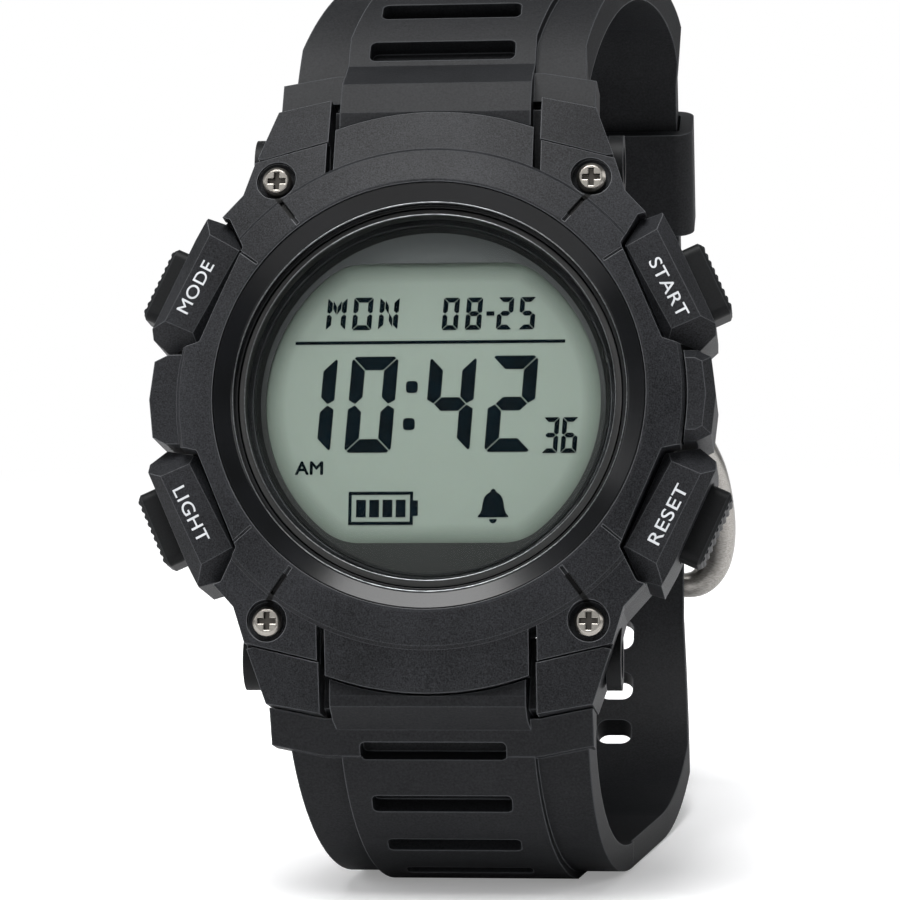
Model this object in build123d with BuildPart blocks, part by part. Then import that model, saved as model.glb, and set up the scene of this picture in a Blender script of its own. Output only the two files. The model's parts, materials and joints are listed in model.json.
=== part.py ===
from build123d import *
import os
from math import cos, hypot, radians, sin

os.makedirs("parts", exist_ok=True)

# Digital sports watch, buckled and standing upright on the lower bend of its strap.
# X runs to the viewer's right, Z up, and the face looks towards -Y and a little up.
# The origin lies on the table under the middle of the watch. All sizes are in mm.

# Driving dimensions of the whole watch
lean = 15.0
case_radius = 21.6
cavity_radius = 17.2
case_back_thickness = 1.2
drum_top = 9.0
seat_top = 9.8
seat_bore_radius = 15.7
bezel_top = 13.0
bezel_radius = 22.2
rim_edge_height = 11.6
plate_past_ring = 3.6
glass_radius = 16.15
glass_thickness = 1.9
lug_gap = 18.8
lug_reach = 27.4
pin_reach = 22.2
pin_level = 4.8
button_angle = 24.4
button_level = 6.0
button_travel = 0.8
strap_thickness = 2.4
strap_shoulder_width = 28.2
strap_lug_width = 26.6
strap_crown_width = 25.2
strap_foot_width = 25.0
strap_back_width = 22.8
raised_band_width = 17.0
raised_band_height = 0.7
loop_sway = 8.5

# Clearances and overruns that several pieces share
fit_gap = 0.1
layer_gap = 0.05
seam = 0.15
strap_gap = 0.2
overrun = 2.0

plate_reach = bezel_radius + plate_past_ring

# Places along the head, as distance from the outer face of the case back
head_pin_run = 25.6
head_pin_level = pin_level

sin_lean = sin(radians(lean))
cos_lean = cos(radians(lean))


def head_offset(up, out):
    """Y and Z from the case back centre to a point up the face and out of it."""
    return (up * sin_lean - out * cos_lean, up * cos_lean + out * sin_lean)


# Route of the lower strap half: lug, front bend, foot, back bend, back run, keeper run, tail
lower_exit = 14.0
front_run = 3.2
front_bend_radius = 19.0
foot_length = 13.0
back_bend_radius = 26.0
flat_depth = 0.5
keeper_slant = 18.0
keeper_run = 17.0
lean_in_radius = 30.0
tail_turn = 28.0

# Route of the upper strap half: lug, crown, shoulder, keeper run, back run, buckle bar
upper_exit = 22.0
crown_radius = 22.0
shoulder_radius = 20.0
shoulder_turn = 30.0
bar_height = 37.0

foot_line = strap_thickness / 2 + raised_band_height - flat_depth
head_z = foot_line + front_bend_radius * (1 - sin(radians(lower_exit))) + front_run * cos(radians(lower_exit))
head_z = head_z - head_offset(-head_pin_run, head_pin_level)[1]

lower_start = head_offset(-head_pin_run, head_pin_level)
upper_start = head_offset(head_pin_run, head_pin_level)
strap_pitch = strap_thickness + strap_gap
lower_back = lower_start[0] + front_run * sin(radians(lower_exit))
lower_back = lower_back + front_bend_radius * cos(radians(lower_exit)) + foot_length + back_bend_radius
upper_back = lower_back - strap_pitch

# The bend above the keeper closes the upper half on its back run
keeper_dip = 90.0 - keeper_slant
closing_run = upper_back - upper_start[0] - crown_radius * cos(radians(upper_exit))
closing_run = closing_run - shoulder_radius * sin(radians(shoulder_turn))
closing_run = closing_run - keeper_run * cos(radians(keeper_dip))
closing_run = closing_run - lean_in_radius * (1 - sin(radians(keeper_dip)))
closing_radius = closing_run / (sin(radians(keeper_dip)) - sin(radians(shoulder_turn)))

crown_line = head_z + upper_start[1] + crown_radius * (1 - sin(radians(upper_exit)))
keeper_top = crown_line - shoulder_radius * (1 - cos(radians(shoulder_turn)))
keeper_top = keeper_top - closing_radius * (cos(radians(shoulder_turn)) - cos(radians(keeper_dip)))
back_run_top = keeper_top - keeper_run * sin(radians(keeper_dip)) - lean_in_radius * cos(radians(keeper_dip))

# Buckle sizes
crossbar_radius = 1.1
prong_thickness = 1.3
buckle_length = 15.0
bar_inset = 0.7
crossbar_out = strap_thickness * 1.5 + strap_gap * 2 + crossbar_radius + bar_inset

# The watch is centred front to back on the origin
front_reach = bezel_radius * sin_lean + rim_edge_height * cos_lean
back_reach = upper_back - bar_inset + crossbar_out + crossbar_radius + prong_thickness + fit_gap
head_y = (front_reach - back_reach) / 2

# The loop drifts to one side behind the head, and hangs straight from sway_y on
sway_run = 9.0
upper_drift_delay = 3.5
lower_drift_lead = 3.0
sway_y = head_y + upper_back - sway_run
drift_start = {1: head_y + upper_start[0] + upper_drift_delay, -1: head_y + lower_start[0] - lower_drift_lead}

head = Plane(origin=(0, head_y, head_z), x_dir=(1, 0, 0), z_dir=(0, -cos_lean, sin_lean))
side = Plane(origin=(0, head_y, head_z), x_dir=(0, sin_lean, cos_lean), z_dir=(1, 0, 0))
face_axis = Axis((0, head_y, head_z), (0, -cos_lean, sin_lean))


def level(height):
    """Plane parallel to the face, at a height above the outer face of the case back."""
    return head.offset(height)


def radial_plane(angle):
    """Plane through the face axis: X runs outwards at an angle, Y out of the face."""
    across = cos(radians(angle))
    up = sin(radians(angle))
    return Plane(origin=head.origin, x_dir=head.x_dir * across + head.y_dir * up,
                 z_dir=head.x_dir * up - head.y_dir * across)


def head_point(up, out):
    """Point in Y and Z at a distance up the face and out of it."""
    offset_y, offset_z = head_offset(up, out)
    return (head_y + offset_y, head_z + offset_z)


def save(builder, name):
    """Give a finished piece its name and write it out."""
    builder.part.label = name
    export_step(builder.part, f"parts/{name}.step")


# Plan outlines of the case for one quarter, as shares of the case radius
guard_outline_shares = [(0.782, 0.616), (0.843, 0.736), (0.931, 0.764), (0.981, 0.671),
                        (1.148, 0.296), (1.148, 0.259), (1.083, 0.199), (0.944, 0.236)]
guard_face_shares = [(0.79, 0.612), (0.912, 0.681), (1.088, 0.321), (0.972, 0.27)]
side_guard_outline_shares = [(0.963, -0.185), (1.074, -0.185), (1.13, -0.157), (1.148, 0.0),
                             (1.13, 0.157), (1.074, 0.185), (0.963, 0.185)]
ear_outline_shares = [(0.44, 0.796), (0.44, 1.065), (0.738, 0.992), (0.782, 0.849), (0.884, 0.738),
                      (0.806, 0.643), (0.556, 0.648)]
lug_side_shares = [(0.657, 1.227), (0.731, 1.014), (0.773, 0.852), (0.88, 0.731), (0.806, 0.639),
                   (0.509, 0.602)]
quarters = [(1, 1), (-1, 1), (-1, -1), (1, -1)]


def outline(shares, across, up):
    """Draw one outline in the quarter that the two signs name."""
    points = [(x * case_radius * across, y * case_radius * up) for x, y in shares]
    Polygon(*points, align=None)


def plan_outline(points, across, up):
    """Draw one outline of real sizes in the quarter that the two signs name."""
    Polygon(*[(x * across, y * up) for x, y in points], align=None)


# A route is a start in Y and Z, a heading in degrees, and moves of (length, 0) or (radius, turn)
def advance(y, z, heading, size, turn, share):
    """Follow a share of one move of a route."""
    if turn == 0:
        return (y + size * share * cos(radians(heading)), z + size * share * sin(radians(heading)), heading)
    reach = size if turn > 0 else -size
    ahead = heading + turn * share
    y = y + reach * (sin(radians(ahead)) - sin(radians(heading)))
    z = z - reach * (cos(radians(ahead)) - cos(radians(heading)))
    return (y, z, ahead)


def move_length(size, turn):
    """Length of one move of a route."""
    return size * radians(abs(turn)) if turn else size


def walk(route, distance):
    """Place and heading at a distance along a route, or straight back from its start."""
    y, z, heading, moves = route
    if distance < 0:
        return advance(y, z, heading, distance, 0, 1)
    for size, turn in moves:
        length = move_length(size, turn)
        step = min(distance, length)
        y, z, heading = advance(y, z, heading, size, turn, step / length)
        distance = distance - step
        if distance <= 0:
            break
    return (y, z, heading)


def stretch(route, begin, end):
    """The piece of a route between two distances, as a route."""
    y, z, heading = walk(route, begin)
    moves = []
    passed = 0
    for size, turn in route[3]:
        length = move_length(size, turn)
        low = max(begin, passed)
        high = min(end, passed + length)
        if high > low:
            share = (high - low) / length
            moves.append((size, turn * share) if turn else (size * share, 0))
        passed = passed + length
    return (y, z, heading, moves)


def route_point(route, outer_side, distance, out):
    """Point beside a route, measured outwards from the wrist."""
    y, z, heading = walk(route, distance)
    return (y - outer_side * out * sin(radians(heading)), z + outer_side * out * cos(radians(heading)))


def band_outline(route, left, right):
    """Draw the closed side view of a band between two offsets to the left of a route."""
    ends = []
    for shift in (left, right):
        y, z, heading, moves = route
        y = y - shift * sin(radians(heading))
        z = z + shift * cos(radians(heading))
        first = (y, z)
        for size, turn in moves:
            tangent = (cos(radians(heading)), sin(radians(heading)))
            if turn == 0:
                Line((y, z), (y + size * tangent[0], z + size * tangent[1]))
                y, z, heading = advance(y, z, heading, size, 0, 1)
            else:
                radius = size - shift if turn > 0 else size + shift
                JernArc((y, z), tangent, radius, turn)
                y, z, heading = advance(y, z, heading, radius, turn, 1)
        ends.append((first, (y, z)))
    Line(ends[0][0], ends[1][0])
    Line(ends[0][1], ends[1][1])


def band(route, left, right, width):
    """Solid band of one width along a route."""
    with BuildPart() as strip:
        with BuildSketch(Plane.YZ):
            with BuildLine():
                band_outline(route, left, right)
            make_face()
        extrude(amount=width / 2, both=True)
    return strip.part


def sway_at(up, y):
    """How far the middle of the upper or lower strap lies to one side at a place along Y."""
    return loop_sway * max(0, min(1, (y - drift_start[up]) / (sway_y - drift_start[up])))


def outward_plane(route, outer_side, distance, out):
    """Plane on a strap at a distance along its route, facing away from the wrist."""
    y, z = route_point(route, outer_side, distance, out)
    heading = radians(walk(route, distance)[2])
    return Plane(origin=(sway_at(outer_side, y), y, z), x_dir=(1, 0, 0),
                 z_dir=(0, -outer_side * sin(heading), outer_side * cos(heading)))


upper_route = (head_y + upper_start[0], head_z + upper_start[1], 90 - upper_exit,
               [(crown_radius, upper_exit - 90), (shoulder_radius, -shoulder_turn),
                (closing_radius, shoulder_turn - keeper_dip), (keeper_run, 0),
                (lean_in_radius, keeper_dip - 90), (back_run_top - bar_height, 0)])
lower_route = (head_y + lower_start[0], head_z + lower_start[1], lower_exit - 90,
               [(front_run, 0), (front_bend_radius, 90 - lower_exit), (foot_length, 0), (back_bend_radius, 90),
                (back_run_top - foot_line - back_bend_radius, 0),
                (lean_in_radius + strap_pitch, keeper_slant), (keeper_run, 0),
                (closing_radius + strap_pitch, tail_turn)])
crown_distance = move_length(*upper_route[3][0])
foot_distance = front_run + move_length(front_bend_radius, 90 - lower_exit)
upper_length = sum(move_length(*move) for move in upper_route[3])
lower_length = sum(move_length(*move) for move in lower_route[3])
half = strap_thickness / 2


# Case body: a drum with four lugs, four button guards and two side guards
lug_floor = 0.4
lug_top = 10.8
lug_crease_radius = 24.8
lug_slope_radius = 32.0
lug_slope_floor = 7.9
lug_riser_start = 20.6
guard_floor = 2.0
guard_top = 11.3
guard_slope = 45.0
guard_gap = 0.3
side_guard_shoulder = 10.8
side_guard_bevel = 1.0
side_guard_angle = 40
back_recess_radius = 20.9
collar_radius = 18.6
ceiling = 8.4
case_back_radius = 20.6
back_screw_radius = 19.35
back_screw_bore = 0.6
thread_depth = 3.0
gasket_inner = 17.5
gasket_outer = 18.2
gasket_depth = 0.5
pin_radius = 0.9
pin_head_radius = 2.7
pin_head_seat = 15.2
bezel_screw_place_shares = (0.644, 0.907)
bezel_screw_bore = 0.6
pocket_floor = 22.2
button_length = 7.0
button_height = 4.2
button_face = 27.2
stem_radius = 1.0
spring_well_radius = 1.85
spring_well_floor = 20.9
clip_face = 17.0
corner = 0.8
neck_pocket = 20.2
neck_ceiling = 7.6

bezel_screw_place = (bezel_screw_place_shares[0] * case_radius, bezel_screw_place_shares[1] * case_radius)
button_sides = {"mode": 180 - button_angle, "light": 180 + button_angle,
                "start": button_angle, "reset": -button_angle}


def button_plane(angle, distance):
    """Plane across a button's line of travel, at a distance from the face axis."""
    out = (cos(radians(angle)), sin(radians(angle)))
    place = head.from_local_coords(Vector(out[0] * distance, out[1] * distance, button_level))
    tip = head.from_local_coords(Vector(out[0] * 2 * distance, out[1] * 2 * distance, button_level))
    return Plane(origin=place, x_dir=head.z_dir, z_dir=tip - place)


lug_side = [(x * case_radius, y * case_radius) for x, y in lug_side_shares]
lug_outline = [(lug_gap / 2, lug_side[-1][1]), (lug_gap / 2, lug_reach)] + lug_side
lug_riser_outline = [(lug_gap / 2, lug_riser_start), (lug_gap / 2, lug_reach), lug_side[0], lug_side[1]]


def guard_block(across, up):
    """Button guard with a flat face for its word and slopes from there down to its outline."""
    with BuildPart() as guard:
        with BuildSketch(level(guard_top)) as face:
            outline(guard_face_shares, across, up)
        extrude(face.sketch, amount=guard_floor - guard_top, taper=-guard_slope)
        with BuildSketch(level(guard_floor)) as plan:
            outline(guard_outline_shares, across, up)
        extrude(plan.sketch, amount=guard_top - guard_floor, mode=Mode.INTERSECT)
    return guard.part


guards = [guard_block(across, up) for across, up in quarters]

with BuildPart() as case_body:
    with BuildSketch(level(case_back_thickness)):
        Circle(case_radius)
    extrude(amount=drum_top - case_back_thickness)
    for across, up in quarters:
        with BuildSketch(level(lug_floor)):
            plan_outline(lug_outline, across, up)
        extrude(amount=drum_top - lug_floor)
        with BuildSketch(level(drum_top)):
            plan_outline(lug_riser_outline, across, up)
        extrude(amount=lug_top - drum_top)
    # Lug tips slope away from the ears of the bezel
    with BuildSketch(side):
        Polygon((lug_crease_radius, lug_top), (lug_slope_radius, lug_slope_floor),
                (lug_slope_radius, bezel_top), (lug_crease_radius, bezel_top), align=None)
    revolve(axis=face_axis, mode=Mode.SUBTRACT)
    for across in (1, -1):
        with BuildSketch(level(guard_floor)):
            outline(side_guard_outline_shares, across, 1)
        extrude(amount=side_guard_shoulder - guard_floor)
        with BuildSketch(level(side_guard_shoulder)):
            outline(side_guard_outline_shares, across, 1)
        extrude(amount=side_guard_bevel, taper=side_guard_angle)
    # Room for the bezel's ring and ears above the drum
    with BuildSketch(level(drum_top)):
        for across, up in quarters:
            outline(ear_outline_shares, across, up)
        offset(amount=seam)
        Circle(bezel_radius + seam)
    extrude(amount=bezel_top - drum_top + overrun, mode=Mode.SUBTRACT)
    for guard in guards:
        add(guard)
    # Seat for the glass
    with BuildSketch(level(drum_top)):
        Circle(collar_radius)
    extrude(amount=seat_top - drum_top)
    # Cavity, recess for the case back and its gasket groove
    with BuildSketch(level(case_back_thickness)):
        Circle(cavity_radius)
    extrude(amount=ceiling - case_back_thickness, mode=Mode.SUBTRACT)
    with BuildSketch(level(ceiling)):
        Circle(seat_bore_radius)
    extrude(amount=seat_top - ceiling + overrun, mode=Mode.SUBTRACT)
    with BuildSketch(level(case_back_thickness)):
        Circle(back_recess_radius)
    extrude(amount=-case_back_thickness - overrun, mode=Mode.SUBTRACT)
    with BuildSketch(level(case_back_thickness)):
        Circle(gasket_outer + layer_gap)
        Circle(gasket_inner - layer_gap, mode=Mode.SUBTRACT)
    extrude(amount=gasket_depth, mode=Mode.SUBTRACT)
    with BuildSketch(level(case_back_thickness)):
        with PolarLocations(back_screw_radius, 4, start_angle=45):
            Circle(back_screw_bore)
    extrude(amount=thread_depth, mode=Mode.SUBTRACT)
    # Room for the strap necks between the lugs
    for up in (1, -1):
        with BuildSketch(side):
            with BuildLine():
                Polyline((up * neck_pocket, -overrun), (up * neck_pocket, neck_ceiling),
                         (up * lug_reach, neck_ceiling), (up * lug_reach, -overrun), close=True)
            make_face()
        extrude(amount=lug_gap / 2, both=True, mode=Mode.SUBTRACT)
    # Screw holes for the bezel
    with BuildSketch(level(drum_top)):
        with GridLocations(2 * bezel_screw_place[0], 2 * bezel_screw_place[1], 2, 2):
            Circle(bezel_screw_bore)
    extrude(amount=-thread_depth, mode=Mode.SUBTRACT)
    # Strap pin bores and the round recesses for the pin heads
    for up in (1, -1):
        with BuildSketch(side):
            with Locations((up * pin_reach, pin_level)):
                Circle(pin_radius + layer_gap)
        extrude(amount=pin_head_seat + overrun, both=True, mode=Mode.SUBTRACT)
        for across in (1, -1):
            with BuildSketch(side.offset(across * pin_head_seat)):
                with Locations((up * pin_reach, pin_level)):
                    Circle(pin_head_radius + fit_gap)
            extrude(amount=across * overrun * 2, mode=Mode.SUBTRACT)
    # Button pockets, spring wells and stem bores
    for angle in button_sides.values():
        with BuildSketch(button_plane(angle, pocket_floor)):
            RectangleRounded(button_height + 2 * seam, button_length + 2 * seam, corner)
        extrude(amount=button_face - pocket_floor + overrun, mode=Mode.SUBTRACT)
        with BuildSketch(button_plane(angle, spring_well_floor)):
            Circle(spring_well_radius)
        extrude(amount=pocket_floor - spring_well_floor, mode=Mode.SUBTRACT)
        with BuildSketch(button_plane(angle, cavity_radius - overrun)):
            Circle(stem_radius + layer_gap)
        extrude(amount=pocket_floor - cavity_radius + overrun, mode=Mode.SUBTRACT)
save(case_body, "case_body")


# Bezel: sloping ring with an ear at each screw and a plate at twelve and at six
bezel_bore_radius = 18.85
crest_radius = 19.1
rim_height = 12.0
rim_bevel_radius = 21.9
plate_width = 17.6
outer_slope_radius = 28.0
outer_slope_height = 9.9
screw_head_radius = 1.3
counterbore_radius = 1.78
counterbore_floor = 10.1
groove_depth = 0.3
groove_width = 0.36
groove_angle = 52.5
line_width = 0.2
line_angle = 37.5

with BuildPart() as bezel:
    with BuildSketch(level(drum_top)):
        with Locations((0, plate_reach / 2), (0, -plate_reach / 2)):
            Rectangle(plate_width, plate_reach)
        Circle(plate_reach, mode=Mode.INTERSECT)
        for across, up in quarters:
            outline(ear_outline_shares, across, up)
        Circle(bezel_radius)
    extrude(amount=bezel_top - drum_top)
    with BuildSketch(side):
        with BuildLine():
            Polyline((0, drum_top), (0, bezel_top), (crest_radius, bezel_top),
                     (rim_bevel_radius, rim_height), (bezel_radius, rim_edge_height),
                     (outer_slope_radius, outer_slope_height), (outer_slope_radius, drum_top), close=True)
        make_face()
    revolve(axis=face_axis, mode=Mode.INTERSECT)
    with BuildSketch(level(drum_top)):
        Circle(bezel_bore_radius)
    extrude(amount=bezel_top, mode=Mode.SUBTRACT)
    # Notches that clear the button guards
    for across, up in quarters:
        with BuildSketch(level(drum_top)):
            outline(guard_outline_shares, across, up)
            offset(amount=guard_gap)
        extrude(amount=bezel_top, mode=Mode.SUBTRACT)
    # Four grooves and four fine lines run out across the ring
    for angle, width in ((groove_angle, groove_width), (line_angle, line_width)):
        for turned in (angle, 180 - angle, 180 + angle, -angle):
            with BuildSketch(radial_plane(turned)):
                Polygon((crest_radius, bezel_top - groove_depth), (rim_bevel_radius, rim_height - groove_depth),
                        (rim_bevel_radius, bezel_top + overrun), (crest_radius, bezel_top + overrun), align=None)
            extrude(amount=width / 2, both=True, mode=Mode.SUBTRACT)
    with BuildSketch(level(drum_top)):
        with GridLocations(2 * bezel_screw_place[0], 2 * bezel_screw_place[1], 2, 2):
            Circle(bezel_screw_bore + fit_gap)
    extrude(amount=bezel_top, mode=Mode.SUBTRACT)
    with BuildSketch(level(counterbore_floor)):
        with GridLocations(2 * bezel_screw_place[0], 2 * bezel_screw_place[1], 2, 2):
            Circle(counterbore_radius)
    extrude(amount=bezel_top, mode=Mode.SUBTRACT)
save(bezel, "bezel")


# Four pan head screws that hold the bezel
bezel_screw_length = 3.6
screw_head_height = 0.9
recess_depth = 0.5
recess_width = 0.5
recess_span = 1.6

with BuildPart() as bezel_screws:
    with BuildSketch(level(counterbore_floor)):
        with GridLocations(2 * bezel_screw_place[0], 2 * bezel_screw_place[1], 2, 2):
            Circle(screw_head_radius)
    extrude(amount=screw_head_height)
    chamfer(bezel_screws.edges().group_by(Axis((0, 0, 0), head.z_dir))[-1], screw_head_height / 3)
    with BuildSketch(level(counterbore_floor)):
        with GridLocations(2 * bezel_screw_place[0], 2 * bezel_screw_place[1], 2, 2):
            Circle(bezel_screw_bore - layer_gap)
    extrude(amount=-bezel_screw_length)
    with BuildSketch(level(counterbore_floor + screw_head_height)):
        with GridLocations(2 * bezel_screw_place[0], 2 * bezel_screw_place[1], 2, 2):
            Rectangle(recess_span, recess_width)
            Rectangle(recess_width, recess_span)
    extrude(amount=-recess_depth, mode=Mode.SUBTRACT)
save(bezel_screws, "bezel_screws")


# Glass, its seal and the ring that keeps it down
glass_edge = 0.3
glass_seal_width = 0.5
glass_seal_height = 1.4
ring_outer = 18.75
ring_crest = 12.9
ring_slope_radius = 17.35
ring_slope_height = 12.15
ring_lip_radius = 17.1
ring_step_height = 11.9
ring_bore_radius = 16.85
ring_step_floor = 11.3

with BuildPart() as crystal:
    with BuildSketch(level(seat_top)):
        Circle(glass_radius)
    extrude(amount=glass_thickness)
    chamfer(crystal.edges().group_by(Axis((0, 0, 0), head.z_dir))[-1], glass_edge)
save(crystal, "crystal")

with BuildPart() as crystal_seal:
    with BuildSketch(level(seat_top)):
        Circle(glass_radius + layer_gap + glass_seal_width)
        Circle(glass_radius + layer_gap, mode=Mode.SUBTRACT)
    extrude(amount=glass_seal_height)
save(crystal_seal, "crystal_seal")

with BuildPart() as crystal_ring:
    with BuildSketch(side):
        with BuildLine():
            Polyline((ring_outer, drum_top + layer_gap), (ring_outer, ring_crest),
                     (ring_slope_radius, ring_slope_height), (ring_lip_radius, ring_step_height),
                     (ring_lip_radius, ring_step_floor), (ring_bore_radius, ring_step_floor),
                     (ring_bore_radius, seat_top), (collar_radius + layer_gap, seat_top),
                     (collar_radius + layer_gap, drum_top + layer_gap), close=True)
        make_face()
    revolve(axis=face_axis)
save(crystal_ring, "crystal_ring")


# Display stack under the glass
rehaut_outer = 15.6
rehaut_inner = 15.2
mask_top = 8.85
mask_thickness = 0.3
window_radius = 14.75
window_half_height = 12.5
window_width = 2 * window_radius
display_radius = 15.5
display_width = 30.6
display_height = 27.0
display_thickness = 1.3
display_top = mask_top - mask_thickness - layer_gap
light_width = 21.0
light_height = 20.0
light_thickness = 0.5

with BuildPart() as rehaut_ring:
    with BuildSketch(side):
        with BuildLine():
            Polyline((rehaut_outer, mask_top), (rehaut_outer, seat_top - layer_gap),
                     (rehaut_outer - fit_gap, seat_top - layer_gap), (rehaut_inner, mask_top), close=True)
        make_face()
    revolve(axis=face_axis)
save(rehaut_ring, "rehaut_ring")

with BuildPart() as dial_mask:
    with BuildSketch(level(mask_top - mask_thickness)):
        Circle(rehaut_outer)
        with BuildSketch(mode=Mode.PRIVATE) as window:
            Circle(window_radius)
            Rectangle(window_width, 2 * window_half_height, mode=Mode.INTERSECT)
        add(window.sketch, mode=Mode.SUBTRACT)
    extrude(amount=mask_thickness)
save(dial_mask, "dial_mask")

with BuildPart() as display_panel:
    with BuildSketch(level(display_top - display_thickness)):
        Circle(display_radius)
        Rectangle(display_width, display_height, mode=Mode.INTERSECT)
    extrude(amount=display_thickness)
save(display_panel, "display_panel")

display_floor = display_top - display_thickness
with BuildPart() as backlight_panel:
    with BuildSketch(level(display_floor - light_thickness)):
        Rectangle(light_width, light_height)
    extrude(amount=light_thickness)
save(backlight_panel, "backlight_panel")


# Module: frame, board, chip, quartz can, connectors, battery and its clip, sounder
module_radius = 16.9
frame_floor = 1.9
board_radius = 15.6
board_floor = 4.7
board_thickness = 0.8
board_top = board_floor + board_thickness
shelf_inner = 14.9
shelf_thickness = 1.0
switch_bay_width = 5.4
switch_bay_floor = 4.0
switch_bay_top = 8.0
switch_bay_inner = 14.8
connector_length = 13.0
connector_width = 1.2
connector_place = 12.4
battery_radius = 10.0
battery_thickness = 1.6
battery_place = (-2.5, -2.5)
clip_thickness = 0.2
clip_width = 6.0
clip_foot = 1.6
sounder_radius = 7.0
sounder_thickness = 0.25
chip_size = 7.0
chip_thickness = 0.9
quartz_radius = 0.95
quartz_length = 6.0
quartz_place = (7.5, 9.6)
leaf_thickness = 0.15
leaf_width = 4.0
leaf_face = 15.25
battery_top = board_floor - layer_gap
back_pocket_radius = 16.5
back_pocket_depth = 0.5
back_pocket_floor = case_back_thickness - back_pocket_depth

with BuildPart() as module_frame:
    with BuildSketch(level(frame_floor)):
        Circle(module_radius)
        Circle(board_radius + fit_gap, mode=Mode.SUBTRACT)
    extrude(amount=ceiling - layer_gap - frame_floor)
    with BuildSketch(level(board_top)):
        Circle(board_radius + 2 * fit_gap)
        Circle(shelf_inner, mode=Mode.SUBTRACT)
    extrude(amount=shelf_thickness)
    for angle in button_sides.values():
        with BuildSketch(button_plane(angle, switch_bay_inner)):
            with Locations(((switch_bay_floor + switch_bay_top) / 2 - button_level, 0)):
                Rectangle(switch_bay_top - switch_bay_floor, switch_bay_width)
        extrude(amount=cavity_radius - switch_bay_inner, mode=Mode.SUBTRACT)
save(module_frame, "module_frame")

with BuildPart() as circuit_board:
    with BuildSketch(level(board_floor)):
        Circle(board_radius)
    extrude(amount=board_thickness)
    # Notches that the button stems reach into when they are pressed
    for angle in button_sides.values():
        with BuildSketch(button_plane(angle, leaf_face - fit_gap)):
            Circle(stem_radius + fit_gap)
        extrude(amount=overrun, mode=Mode.SUBTRACT)
save(circuit_board, "circuit_board")

with BuildPart() as control_chip:
    with BuildSketch(level(board_top)):
        Rectangle(chip_size, chip_size)
    extrude(amount=chip_thickness)
save(control_chip, "control_chip")

with BuildPart() as quartz_can:
    with BuildSketch(side.offset(quartz_place[0] - quartz_length / 2)):
        with Locations((quartz_place[1], board_floor - quartz_radius)):
            Circle(quartz_radius)
    extrude(amount=quartz_length)
save(quartz_can, "quartz_can")

with BuildPart() as display_connectors:
    with BuildSketch(level(board_top)):
        with Locations((0, connector_place), (0, -connector_place)):
            Rectangle(connector_length, connector_width)
    extrude(amount=display_floor - board_top)
save(display_connectors, "display_connectors")

with BuildPart() as battery:
    with BuildSketch(level(battery_top - battery_thickness)):
        with Locations(battery_place):
            Circle(battery_radius)
    extrude(amount=battery_thickness)
    chamfer(battery.edges().group_by(Axis((0, 0, 0), head.z_dir))[0], clip_thickness)
save(battery, "battery")

# The clip crosses the back of the battery and stands on the board by two feet
clip_span = battery_radius + clip_foot
with BuildPart() as battery_clip:
    with BuildSketch(level(battery_top - battery_thickness - clip_thickness)):
        with Locations(battery_place):
            Rectangle(2 * clip_span, clip_width)
    extrude(amount=clip_thickness)
    with BuildSketch(level(battery_top - battery_thickness - clip_thickness)):
        with Locations((battery_place[0] - clip_span + clip_foot / 4, battery_place[1]),
                       (battery_place[0] + clip_span - clip_foot / 4, battery_place[1])):
            Rectangle(clip_foot / 2, clip_width)
    extrude(amount=board_floor - battery_top + battery_thickness + clip_thickness)
save(battery_clip, "battery_clip")

with BuildPart() as sounder:
    with BuildSketch(level(back_pocket_floor)):
        Circle(sounder_radius)
    extrude(amount=sounder_thickness)
save(sounder, "sounder")

# Leaf contacts that the button stems push
with BuildPart() as switch_leaves:
    for angle in button_sides.values():
        with BuildSketch(button_plane(angle, leaf_face - leaf_thickness)):
            with Locations(((board_top + display_floor) / 2 - button_level, 0)):
                Rectangle(display_floor - board_top - 2 * layer_gap, leaf_width)
        extrude(amount=leaf_thickness)
save(switch_leaves, "switch_leaves")


# Case back with its gasket and four screws
back_head_radius = 1.15
back_head_sink = 0.7
back_screw_length = 2.6
back_slot_width = 0.4
back_rim_radius = 15.0
back_rim_depth = 0.15

with BuildPart() as case_back:
    with BuildSketch(level(0)):
        Circle(case_back_radius)
    extrude(amount=case_back_thickness)
    chamfer(case_back.edges().group_by(Axis((0, 0, 0), head.z_dir))[0], case_back_thickness / 4)
    with BuildSketch(level(0)):
        Circle(back_rim_radius + back_rim_depth * 2)
        Circle(back_rim_radius, mode=Mode.SUBTRACT)
    extrude(amount=back_rim_depth, mode=Mode.SUBTRACT)
    with BuildSketch(level(back_pocket_floor)):
        Circle(back_pocket_radius)
    extrude(amount=back_pocket_depth, mode=Mode.SUBTRACT)
    with BuildSketch(level(0)):
        with PolarLocations(back_screw_radius, 4, start_angle=45):
            Circle(back_head_radius + layer_gap)
    extrude(amount=back_head_sink, mode=Mode.SUBTRACT)
    with BuildSketch(level(0)):
        with PolarLocations(back_screw_radius, 4, start_angle=45):
            Circle(back_screw_bore + layer_gap)
    extrude(amount=case_back_thickness, mode=Mode.SUBTRACT)
save(case_back, "case_back")

with BuildPart() as case_back_gasket:
    with BuildSketch(level(case_back_thickness)):
        Circle(gasket_outer)
        Circle(gasket_inner, mode=Mode.SUBTRACT)
    extrude(amount=gasket_depth - layer_gap)
save(case_back_gasket, "case_back_gasket")

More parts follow.
